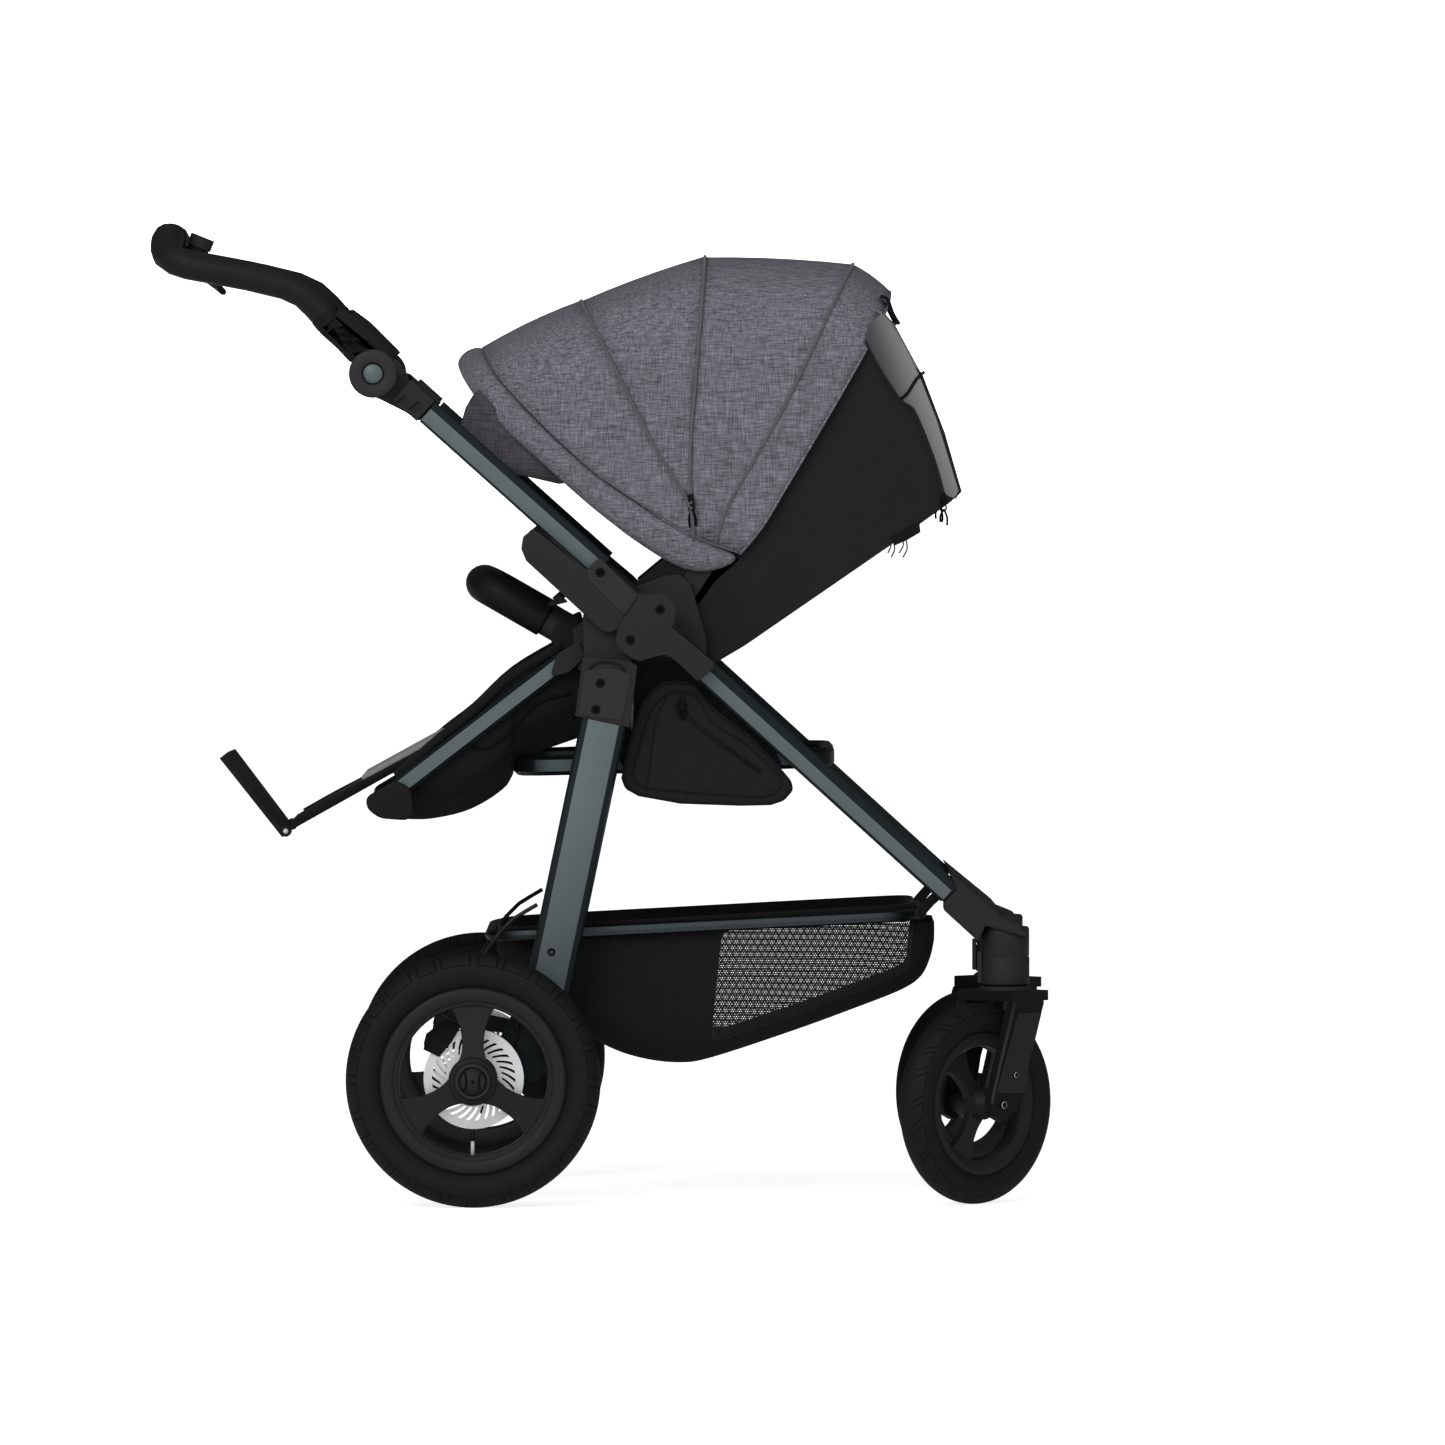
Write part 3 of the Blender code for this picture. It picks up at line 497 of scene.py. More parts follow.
def sweep(name, path, section, look, body, keep=(0, 1, 0), closed=False, width=0.0):
    """Section carried along a path; its first axis stays near keep."""
    path = [Vector(p) for p in path]
    keep = Vector(keep).normalized()
    total, ring = len(path), len(section)
    verts = []
    for k, point in enumerate(path):
        before = path[k - 1] if (k or closed) else point
        after = path[(k + 1) % total] if (k < total - 1 or closed) else point
        along = (after - before).normalized()
        first = keep - along * keep.dot(along)
        if first.length < 1e-5:
            first = along.orthogonal()
        first.normalize()
        second = along.cross(first)
        for a, b in section:
            verts.append(point + first * a + second * b)
    faces = []
    for k in range(total if closed else total - 1):
        here, there = k * ring, ((k + 1) % total) * ring
        for j in range(ring):
            n = (j + 1) % ring
            faces.append((here + j, here + n, there + n, there + j))
    if not closed:
        faces.append(tuple(range(ring)))
        faces.append(tuple(range(total * ring - 1, (total - 1) * ring - 1, -1)))
    return add(name, verts, faces, look, body, width)


def lathe(name, profile, turn, look, body, count=48, width=0.0):
    """(radius, offset) pairs turned about the local Y axis of the matrix turn."""
    verts, rows = [], []
    for radius, offset in profile:
        if radius < 1e-6:
            rows.append([len(verts)] * count)
            verts.append(turn @ Vector((0, offset, 0)))
            continue
        rows.append(list(range(len(verts), len(verts) + count)))
        for k in range(count):
            angle = 2 * math.pi * k / count
            verts.append(turn @ Vector((radius * math.cos(angle), offset, radius
                * math.sin(angle))))
    faces, uv = [], []
    closed = profile[0][0] > 1e-6
    for k in range(len(rows) if closed else len(rows) - 1):
        here, there = rows[k], rows[(k + 1) % len(rows)]
        v0, v1 = profile[k][0], profile[(k + 1) % len(rows)][0]
        for j in range(count):
            n = (j + 1) % count
            loop = [here[j], here[n], there[n], there[j]]
            face = tuple(dict.fromkeys(loop))
            faces.append(face)
            u0, u1 = j / count, (j + 1) / count
            uv.append([(u0, v0), (u1, v0), (u1, v1), (u0, v1)][:len(face)])
    return add(name, verts, faces, look, body, width, uv=uv)


def local(x, y, z, side):
    """Matrix at a point whose local -Y points out to that side."""
    return Matrix.Translation((x, y, z)) @ Matrix.Rotation(0.0 if side < 0 else math.pi, 4, "Z")


def screw(name, x, z, y, side, body, radius):
    """Socket head set in a plate: ring, well and hexagon."""
    turn = local(x, y, z, side)
    lathe(name, ((radius, 0.001), (radius, -0.0006), (radius * 0.8, -0.001), (radius * 0.5, -0.001),
        (radius * 0.46, 0.001)), turn, SCREW, body, 24)
    lathe(name + "_well", ((0.0, 0.0003), (radius * 0.5, 0.0003), (radius * 0.5, 0.0012),
        (0.0, 0.0012)), turn, SCREW, body, 6)


def bolts(name, x, z, y, body, radius):
    """Socket heads at the same place on both sides."""
    for tag, _, side in SIDES:
        screw("%s_%s" % (name, tag), x, z, side * y, side, body, radius)


# ------ CAD nodes shown as they are

DRESS = {"front_leg": (FRONT_LEG, 0.0), "push_tube": (PUSH_TUBE, 0.0), "rear_leg": (LEG, 0.007),
    "rear_axle": (CHARCOAL_DARK, 0.001), "brace_loop": (RAIL, 0.0), "basket_rail": (RAIL, 0.0),
    "seat_tube": (TUBE, 0.0), "front_plate": (CHARCOAL, 0.0014), "front_head": (CHARCOAL, 0.003),
    "swivel_lock": (CHARCOAL_LIGHT, 0.0012), "push_plate": (CHARCOAL, 0.0016),
    "release_trigger": (CHARCOAL_DARK, 0.0016), "hinge_base": (CHARCOAL, 0.002),
    "hinge_arm": (CHARCOAL_DARK, 0.0025), "hinge_button": (TUBE, 0.0012), "leg_hub": (CHARCOAL,
    0.0016), "caliper": (CHARCOAL_DARK, 0.002), "brake_cable": (CABLE, 0.0),
    "seat_hub": (CHARCOAL, 0.0022), "fork": (CHARCOAL_DARK, 0.006), "grip_bar": (GRIP, 0.0),
    "brake_lever": (CHARCOAL_DARK, 0.001), "park_knob": (CHARCOAL, 0.0025), "side_bag": (BAG, 0.0),
    "bumper_bar": (CHARCOAL, 0.0), "seat_tub": (TUB, 0.004), "backrest": (SHELL, 0.0025),
    "legrest_board": (TUB, 0.0015), "footplate": (CHARCOAL_DARK, 0.0015), "basket": (NET, 0.0),
    "canopy_rear": (HOOD, 0.0), "canopy_mid": (HOOD, 0.0), "canopy_front": (HOOD, 0.0),
    "rear_tyre": (REAR_TREAD, 0.0), "front_tyre": (FRONT_TREAD, 0.0), "rear_rim": (RIM, 0.0),
    "front_rim": (RIM, 0.0), "brake_disc": (STEEL, 0.0),}
for node in NODES:
    stem = node[:-2] if node.endswith(("_r", "_l")) else node
    dress(node, DRESS[stem][0], DRESS[stem][1])


# ------ wheels

def tyre(name, node, turn, body, outer, half, look, count=120, rows=40):
    """Round tyre with UV along (turn, section)."""
    deep = half * 0.9
    mid = outer - deep
    spread = math.radians(150.0)
    verts = []
    for k in range(count):
        angle = 2 * math.pi * k / count
        for j in range(rows + 1):
            bend = -spread + 2 * spread * j / rows
            radius = mid + deep * math.cos(bend)
            verts.append(turn @ Vector((radius * math.cos(angle), half * math.sin(bend),
                radius * math.sin(angle))))
    faces, uv = [], []
    for k in range(count):
        here, there = k * (rows + 1), ((k + 1) % count) * (rows + 1)
        for j in range(rows):
            faces.append((here + j, here + j + 1, there + j + 1, there + j))
            u0, u1, v0, v1 = k / count, (k + 1) / count, j / rows, (j + 1) / rows
            uv.append([(u0, v0), (u0, v1), (u1, v1), (u1, v0)])
        faces.append((here + rows, here, there, there + rows))
        uv.append([(0.0, 1.0)] * 4)
    item = add(name, verts, faces, look, body, uv=uv)
    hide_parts(node)
    return item


def spoke_shape(root, neck, tip, start, waist, finish, steps=10):
    """Half width of a flared spoke against radius, as an outline."""
    right = []
    for k in range(steps + 1):
        t = k / steps
        z = start + (finish - start) * t
        if z < waist:
            s = (z - start) / (waist - start)
            w = root + (neck - root) * (s * s * (3 - 2 * s))
        else:
            s = (z - waist) / (finish - waist)
            w = neck + (tip - neck) * s ** 2.4
        right.append((w, z))
    return right + [(-w, z) for w, z in reversed(right)]


def spokes(name, turn, body, outline, face, thick, look):
    """Three dished arms; the outer face curves back towards the rim."""
    low = min(z for _, z in outline)
    high = max(z for _, z in outline)
    for arm in range(3):
        spin = turn @ Matrix.Rotation(math.radians(120.0 * arm), 4, "Y")
        verts = []
        for offset in (0.0, thick):
            for x, z in outline:
                t = (z - low) / (high - low)
                y = face[0] + (face[1] - face[0]) * t ** 0.8 + offset
                verts.append(spin @ Vector((x, y, z)))
        count = len(outline)
        half = count // 2
        faces = []
        for k in range(half - 1):
            a, b = k, count - 1 - k
            faces.append((k, k + 1, b - 1, b))
            faces.append((count + b, count + b - 1, count + k + 1, count + k))
        for k in range(count):
            n = (k + 1) % count
            faces.append((k, n, n + count, k + count))
        add("%s_arm%d" % (name, arm), verts, faces, look, body, 0.0016, 3, 40.0)


def rear_wheel(tag, body_tag, side):
    body = "rear_wheel_" + body_tag
    turn = local(REAR_X, side * REAR_Y, REAR_RADIUS, side)
    tyre("tyre_rear_" + tag, "rear_tyre_" + tag, turn, body, REAR_RADIUS, 0.025, REAR_TREAD)
    ring = lathe("wheel_rear_" + tag, ((0.1122, 0.015), (0.1122, -0.015), (0.1105, -0.0178),
        (0.1075, -0.019), (0.099, -0.0185), (0.095, -0.0165), (0.0938, -0.014), (0.0925, -0.015),
        (0.0905, -0.0145), (0.0895, -0.011), (0.0885, 0.011), (0.0925, 0.015)), turn, RIM, body,
        120)
    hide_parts("rear_rim_" + tag)
    spokes("wheel_rear_" + tag, turn, body, spoke_shape(0.0175, 0.0128, 0.0285, 0.018, 0.04,
        0.0905), (-0.024, -0.012), 0.012, SPOKE)
    lathe("hub_rear_" + tag, ((0.0, -0.03), (0.0185, -0.03), (0.0192, -0.0318), (0.0212, -0.0318),
        (0.0222, -0.03), (0.0228, -0.027), (0.0258, -0.0262), (0.0285, -0.024), (0.0295, -0.018),
        (0.027, 0.029), (0.0, 0.029)), turn, SPOKE, body, 64)
    lathe("hub_rim_" + tag, ((0.0172, -0.03), (0.0178, -0.0326), (0.0196, -0.033),
        (0.0206, -0.0322), (0.021, -0.03)), turn, CHARCOAL_LIGHT, body, 64)
    lathe("hub_face_" + tag, ((0.0, -0.0304), (0.0174, -0.0304), (0.0174, -0.0298), (0.0, -0.0298)),
        turn, CHARCOAL, body, 48)
    for flip in (-1, 1):
        # near-black plates under the two leaves, wider than them: painted shade in the cap's
        # recesses around the leaves
        slab("hub_slot_shade_%s%d" % (tag, flip), [(flip * x, z) for x, z in ((0.0092, 0.0128),
            (0.0066, 0.005), (0.0058, 0.0), (0.0066, -0.006), (0.0088, -0.013), (0.013, -0.01),
            (0.0158, 0.0), (0.0135, 0.0092))], -0.0308, -0.0302, SCREW, body, 0.0002, 0.002, turn)
        slab("hub_leaf_%s%d" % (tag, flip), [(flip * x, z) for x, z in ((0.01, 0.0095),
            (0.0088, 0.0), (0.0102, -0.0095), (0.0125, -0.0078), (0.0146, 0.0), (0.0126, 0.0075))],
            -0.0311, -0.0304, CHARCOAL, body, 0.0002, 0.002, turn)
    lathe("hub_peak_" + tag, ((0.0, -0.0309), (0.0022, -0.0309), (0.0022, -0.0302), (0.0, -0.0302)),
        turn, SCREW, body, 16)
    valve = turn @ Matrix.Translation((-0.0006, -0.002, -0.0885))
    valve = valve @ Matrix.Rotation(math.radians(-90), 4, "X")
    lathe("valve_rear_" + tag, ((0.0, 0.001), (0.0024, 0.001), (0.0021, -0.017), (0.0, -0.017)),
        valve, BRIGHT, body, 16)
    lathe("valve_cap_rear_" + tag, ((0.0, -0.0165), (0.0032, -0.0165), (0.003, -0.0285),
        (0.0018, -0.03), (0.0, -0.03)), valve, CHARCOAL_DARK, body, 16)
    brake_disc(tag, turn, body)


def brake_disc(tag, turn, body):
    """Slotted disc: ring of leaning slots cut right through."""
    slots, parts = 30, 8
    open_parts = (2, 3, 4)
    radii = (0.0288, 0.034, 0.0375, 0.042, 0.0465, 0.05, 0.06)
    count = slots * parts
    near, far = 0.03, 0.0325
    verts = []
    for offset in (near, far):
        for radius in radii:
            lean = -0.9 * (radius - 0.042) / 0.042
            for k in range(count):
                angle = 2 * math.pi * k / count + (lean * 0.8 if 0.03 < radius < 0.055 else 0.0)
                verts.append(turn @ Vector((radius * math.cos(angle), offset,
                    radius * math.sin(angle))))
    layer = len(radii) * count
    solid = set()
    for ring in range(len(radii) - 1):
        for k in range(count):
            if not (1 <= ring <= 4 and k % parts in open_parts):
                solid.add((ring, k))
    faces, uv = [], []

    def quad(loop, low, high):
        faces.append(loop)
        uv.append([(0.0, low), (1.0, low), (1.0, high), (0.0, high)])

    for ring, k in sorted(solid):
        n = (k + 1) % count
        a, b = ring * count + k, ring * count + n
        c, d = (ring + 1) * count + n, (ring + 1) * count + k
        quad((a, b, c, d), radii[ring], radii[ring + 1])
        quad((d + layer, c + layer, b + layer, a + layer), radii[ring], radii[ring + 1])
        for inside, loop in (((ring - 1, k), (a, b)), ((ring + 1, k), (c, d)),
                ((ring, (k - 1) % count), (d, a)), ((ring, n), (b, c))):
            if inside not in solid:
                quad((loop[0], loop[1], loop[1] + layer, loop[0] + layer), radii[ring], radii[ring])
    disc = add("disc_" + tag, verts, faces, STEEL, body, uv=uv)
    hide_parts("brake_disc_" + tag)
    disc.modifiers.new("crease", "EDGE_SPLIT").split_angle = math.radians(30.0)


def front_wheel(tag, body_tag, side):
    body = "front_wheel_" + body_tag
    caster = (Matrix.Translation((CASTER_X, side * CASTER_Y, 0.0)) @ Matrix.Rotation(CASTER_TURN, 4,
        "Z"))
    turn = caster @ Matrix.Translation((-TRAIL, 0.0, FRONT_RADIUS))
    tyre("tyre_front_" + tag, "front_tyre_" + tag, turn, body, FRONT_RADIUS, 0.0215, FRONT_TREAD)
    ring = lathe("wheel_front_" + tag, ((0.0866, 0.013), (0.0866, -0.013), (0.085, -0.0152),
        (0.082, -0.016), (0.0775, -0.0155), (0.0745, -0.013), (0.0705, -0.0105), (0.069, -0.008),
        (0.069, 0.008), (0.0705, 0.0105), (0.0745, 0.013), (0.082, 0.016), (0.085, 0.0152)), turn,
        RIM, body, 96)
    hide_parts("front_rim_" + tag)
    spokes("wheel_front_" + tag, turn @ Matrix.Rotation(math.radians(-35.0), 4, "Y"), body,
        spoke_shape(0.012, 0.0095, 0.025, 0.012, 0.03, 0.071), (-0.01, -0.005), 0.012, SPOKE)
    lathe("hub_front_" + tag, ((0.0, -0.0335), (0.012, -0.0335), (0.0135, -0.023), (0.015, -0.0215),
        (0.019, -0.015), (0.019, 0.015), (0.015, 0.0215), (0.0135, 0.023), (0.012, 0.0335),
        (0.0, 0.0335)), turn, SPOKE, body, 48)
    valve = turn @ Matrix.Rotation(math.radians(20.0), 4, "Y") @ Matrix.Translation((0, -0.002,
        -0.069))
    valve = valve @ Matrix.Rotation(math.radians(-90), 4, "X")
    lathe("valve_front_" + tag, ((0.0, 0.001), (0.0026, 0.001), (0.0021, -0.008), (0.0, -0.008)),
        valve, BRIGHT, body, 16)
    lathe("valve_cap_front_" + tag, ((0.0, -0.0075), (0.0032, -0.0075), (0.003, -0.017),
        (0.0, -0.018)), valve, CHARCOAL_DARK, body, 16)
    # fork hardware
    fork_body = "caster_" + body_tag
    for flip, tail in ((-1, "a"), (1, "b")):
        face = caster @ Matrix.Translation((0, flip * 0.0455, 0))
        if flip > 0:
            face = face @ Matrix.Rotation(math.pi, 4, "Z")
        for mark, x, z, radius in (("axle", -TRAIL, FRONT_RADIUS, 0.0052), ("stop", -0.031, 0.156,
                0.0042)):
            spot = face @ Matrix.Translation((x * (1 if flip < 0 else -1), 0, z))
            lathe("%s_bolt_%s%s" % (mark, tag, tail), ((radius, 0.001), (radius, -0.0016),
                (radius * 0.75, -0.003), (radius * 0.45, -0.003), (radius * 0.42, -0.0008),
                (0.0001, -0.0008), (0.0001, 0.001)), spot, SCREW, fork_body, 24)
            lathe("%s_glint_%s%s" % (mark, tag, tail), ((radius * 0.92, -0.0014),
                (radius * 0.8, -0.003), (radius * 0.7, -0.003), (radius * 0.84, -0.001)), spot,
                BRIGHT, fork_body, 24)
    guard = ((-0.033, 0.242), (-0.057, 0.1737), (-0.0705, 0.1317), (-0.0731, 0.1222))
    for flip in (-1, 1):
        path = [caster @ Vector((x + 0.0012, flip * 0.0462, z)) for x, z in guard]
        sweep("fork_flange_%s%d" % (tag, flip), path, disc_section(0.002, 8), CHARCOAL_LIGHT,
            fork_body)
        step = [(-0.064, 0.137), (-0.056, 0.1352), (-0.015, 0.1338), (-0.011, 0.148),
            (-0.006, 0.1737), (0.0058, 0.2036), (0.015, 0.23), (-0.026, 0.23), (-0.049, 0.1737)]
        slab("fork_face_%s%d" % (tag, flip), step, flip * 0.045, flip * 0.0466, CHARCOAL, fork_body,
            0.0008, 0.003, caster)


for tag, body_tag, side in SIDES:
    rear_wheel(tag, body_tag, side)
    front_wheel(tag, body_tag, side)


# ------ canopy

# bow and edge lines of the hood seen from the side, from the bottom to the crown (X, Z)
REAR_EDGE = ((0.164, 0.78), (0.176, 0.788), (0.19, 0.811), (0.255, 0.92), (0.31, 1.015),
    (0.34, 1.072), (0.3465, 1.096))
REAR_BOW = ((0.134, 0.79), (0.1355, 0.805), (0.1496, 0.8381), (0.17, 0.8742), (0.224, 0.9702),
    (0.278, 1.0842), (0.3014, 1.1287))
TOP_BOW = ((0.108, 0.795), (0.107, 0.82), (0.105, 0.852), (0.104, 0.9042), (0.11, 0.98),
    (0.119, 1.09), (0.1218, 1.1372))
FRONT_BOW = ((0.108, 0.795), (0.107, 0.82), (0.098, 0.8525), (0.068, 0.8958), (0.032, 0.9666),
    (-0.012, 1.052), (-0.0288, 1.0826))
SEAM = ((0.106, 0.799), (0.08, 0.8141), (0.044, 0.8405), (-0.004, 0.8717), (-0.0665, 0.9282),
    (-0.124, 0.988), (-0.149, 1.0255))
# how the side line turns over into the crown: share of the height and half width
ARCH = ((0.0, 0.168), (0.12, 0.1685), (0.25, 0.169), (0.38, 0.169), (0.5, 0.1685), (0.62, 0.1675),
    (0.72, 0.165), (0.79, 0.16), (0.85, 0.152), (0.9, 0.14), (0.935, 0.124), (0.962, 0.102),
    (0.981, 0.074), (0.993, 0.04), (1.0, 0.0))


def along(line, share):
    """Point of a polyline at a share of its length."""
    points = smooth_path([(x, 0, z) for x, z in line], 5)
    steps = [(b - a).length for a, b in zip(points, points[1:])]
    goal = share * sum(steps)
    for k, step in enumerate(steps):
        if goal <= step or k == len(steps) - 1:
            return points[k].lerp(points[k + 1], min(1.0, goal / step))
        goal -= step


def arch_line(line, lift=0.0):
    """Whole hoop from the right bottom end over the crown to the left one."""
    right = []
    for share, half in ARCH:
        p = along(line, share)
        out = min(1.0, half / 0.165)
        rise = max(0.0, 1.0 - (half / HOOD_HALF) ** 3)
        right.append(Vector((p.x, -(half + lift * out), p.z + lift * rise)))
    return right + [Vector((p.x, -p.y, p.z)) for p in reversed(right[:-1])]


def hood_part(name, lines, body, node, look, lift, sag=0.004, crown=0.7, between=5):
    """Fabric stretched over hoops, drawn in a little between them."""
    hoops = []
    for k in range(len(lines) - 1):
        first, second = arch_line(lines[k], lift), arch_line(lines[k + 1], lift)
        for j in range(between):
            t = j / between
            dip = sag * 4 * t * (1 - t)
            row = []
            for a, b in zip(first, second):
                p = a.lerp(b, t)
                top = max(0.0, 1.0 - abs(p.y) / HOOD_HALF) ** 0.5
                row.append(Vector((p.x, p.y * (1.0 - dip * 1.8), p.z + dip * crown * top)))
            hoops.append(row)
    hoops.append(arch_line(lines[-1], lift))
    count = len(hoops[0])
    verts = [p for row in hoops for p in row]
    faces = []
    for k in range(len(hoops) - 1):
        for j in range(count - 1):
            a = k * count + j
            faces.append((a, a + 1, a + count + 1, a + count))
    item = add(name, verts, faces, look, body)
    thick = item.modifiers.new("cloth", "SOLIDIFY")
    thick.thickness = CLOTH
    thick.offset = 0.0
    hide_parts(node)


hood_part("hood_rear", [REAR_EDGE, REAR_BOW, TOP_BOW], "seat_back", "canopy_rear", HOOD, 0.0)
hood_part("hood_mid", [TOP_BOW, FRONT_BOW], "canopy_middle", "canopy_mid", HOOD, 0.0012)
hood_part("hood_front", [FRONT_BOW, SEAM], "canopy_visor", "canopy_front", HOOD, 0.0024,
    0.003, 1.2)
# the bows' piping in the darker cord colour: painted shade along each bow
for name, line, body, lift in (("bow_rear", REAR_BOW, "seat_back", 0.0), ("bow_top", TOP_BOW,
        "seat_back", 0.0006), ("bow_front", FRONT_BOW, "canopy_middle", 0.0016)):
    hoop = smooth_path(arch_line(line, lift + 0.001), 3)
    sweep(name, hoop, disc_section(0.0021, 8), HOOD_CORD_SHADED, body)
rear_hem = smooth_path(arch_line(REAR_EDGE, 0.0002), 3)
sweep("hood_rear_hem", rear_hem, disc_section(0.0016, 8), HOOD, "seat_back")

# padded roll along the front hem: outer edge against the seam (X, Z)
ROLL_OUT = ((0.16, 0.769), (0.1424, 0.7637), (0.116, 0.7517), (0.092, 0.7565), (0.044, 0.7925),
    (-0.004, 0.8261), (-0.0881, 0.9018), (-0.1421, 0.9522), (-0.17, 0.99), (-0.1781, 1.0062))
ROLL_IN = ((0.1628, 0.78), (0.134, 0.7901), (0.118, 0.796), (0.1, 0.805), (0.044, 0.8405),
    (-0.004, 0.8717), (-0.0665, 0.9282), (-0.1097, 0.9738), (-0.13, 1.0), (-0.1457, 1.0254))


def hem_roll():
    outer, inner = arch_line(ROLL_OUT), arch_line(ROLL_IN)
    ring = 14
    verts = []
    for a, b in zip(outer, inner):
        middle, half = (a + b) / 2, (b - a) / 2
        side = abs(middle.y) / HOOD_HALF
        out = Vector((-0.35 * (1 - side), math.copysign(1.0, middle.y) * side ** 2,
            1.0 - side ** 2)).normalized()
        out = (out - half.normalized() * out.dot(half.normalized())).normalized()
        bulge = half.length * 0.62
        for j in range(ring):
            turn = 2 * math.pi * j / ring
            flat = 1.0 if math.sin(turn) > 0 else 0.55
            verts.append(middle + half * math.cos(turn) * 1.02 + out * (bulge * flat
                * math.sin(turn) - 0.006 * side))
    faces = []
    for k in range(len(outer) - 1):
        for j in range(ring):
            n = (j + 1) % ring
            faces.append((k * ring + j, k * ring + n, (k + 1) * ring + n, (k + 1) * ring + j))
    faces.append(tuple(range(ring)))
    last = (len(outer) - 1) * ring
    faces.append(tuple(range(last + ring - 1, last - 1, -1)))
    item = add("hood_roll", verts, faces, HOOD, "canopy_visor")
    item.modifiers.new("round", "SUBSURF").render_levels = 2
    edge = [p + Vector((0, math.copysign(0.0012, p.y) if abs(p.y) > 0.02 else 0.0, 0.0012))
        for p in arch_line(ROLL_IN, 0.0012)]
    sweep("hood_roll_seam", smooth_path(edge, 3), disc_section(0.0012, 6), HOOD_CORD_SHADED,
        "canopy_visor")


hem_roll()

def visor():
    """Folded sun visor tucked under the front hem, in the darker hood cloth: painted shade under the
    hem.
    """
    outer = [Vector((x, 0, z)) for x, z in ((-0.1577, 0.9702), (-0.1661, 0.956), (-0.1721, 0.935),
        (-0.17, 0.915), (-0.119, 0.879), (-0.0545, 0.864))]
    hem = [Vector((x, 0, z)) for x, z in ((-0.15, 0.978), (-0.13, 0.956), (-0.115, 0.938),
        (-0.1, 0.924), (-0.07, 0.896), (-0.04, 0.868))]
    spans, half, forward = 12, 0.158, 0.01
    verts, faces = [], []
    for k in range(spans + 1):
        turn = 2.0 * k / spans - 1.0
        for a, b in zip(outer, hem):
            for p in (a, a.lerp(b, 0.5), b):
                verts.append(Vector((p.x + forward * (1 - abs(turn)), half * math.sin(turn * math.pi
                    / 2), p.z)))
    count = 3 * len(outer)
    for base in (0, spans * count):
        for a in range(base, base + count - 3, 3):
            faces += [(a + s, a + s + 1, a + s + 4, a + s + 3) for s in (0, 1)]
    for k in range(spans):
        for a in range(k * count, (k + 1) * count - 3, 3):
            faces.append((a, a + 3, a + 3 + count, a + count))
    item = add("hood_visor", verts, faces, HOOD_SHADE_AND_ZIP, "canopy_visor")
    thick = item.modifiers.new("cloth", "SOLIDIFY")
    thick.thickness = THIN_CLOTH


visor()


def puller(name, x, z, y, side, body, size=0.0042, tails=((-0.002, -0.022), (0.005, -0.02))):
    """Zip slider with a ring and two cord ends."""
    slab(name + "_slider", [(x - 0.003, z + 0.008), (x + 0.003, z + 0.008), (x + 0.0035, z),
        (x - 0.0035, z)], side * y, side * (y + 0.003), SCREW, body, 0.0008)
    for k in (0, 1):
        centre = Vector((x + 0.001 * k, side * (y + 0.0016), z - 0.002 - size * 1.6 * k))
        ring = [centre + Vector((size * 0.75 * math.cos(a), 0, size * math.sin(a)))
            for a in [2 * math.pi * j / 14 for j in range(14)]]
        sweep("%s_ring%d" % (name, k), ring, disc_section(0.0013, 6), SCREW, body, closed=True)
    for k, (dx, dz) in enumerate(tails):
        start = Vector((x + 0.001, side * (y + 0.0012), z - 0.01))
        end = start + Vector((dx, 0, dz))
        path = smooth_path([start, start.lerp(end, 0.5) + Vector((0.002 * (k * 2 - 1), 0, 0)), end],
            5)
        sweep("%s_tail%d" % (name, k), path, disc_section(0.0016, 6), SCREW, body)


for tag, body_tag, side in SIDES:
    puller("hood_zip_" + tag, 0.105, 0.844, 0.1702, side, "canopy_middle")
    zip_line = [(x, side * 0.1697, z) for x, z in ((0.105, 0.848), (0.1065, 0.83), (0.108, 0.815),
        (0.108, 0.799))]
    sweep("hood_zip_line_" + tag, zip_line, strap_section(0.0016, 0.0016), HOOD_SHADE_AND_ZIP,
        "canopy_middle")


# ------ seat unit

pair("back_bracket", [(0.07, 0.73), (0.076, 0.756), (0.116, 0.777), (0.16, 0.779), (0.164, 0.773),
    (0.136, 0.748), (0.112, 0.715), (0.09, 0.7)], 0.15, 0.158, CHARCOAL, "seat_back", 0.0015, 0.006)
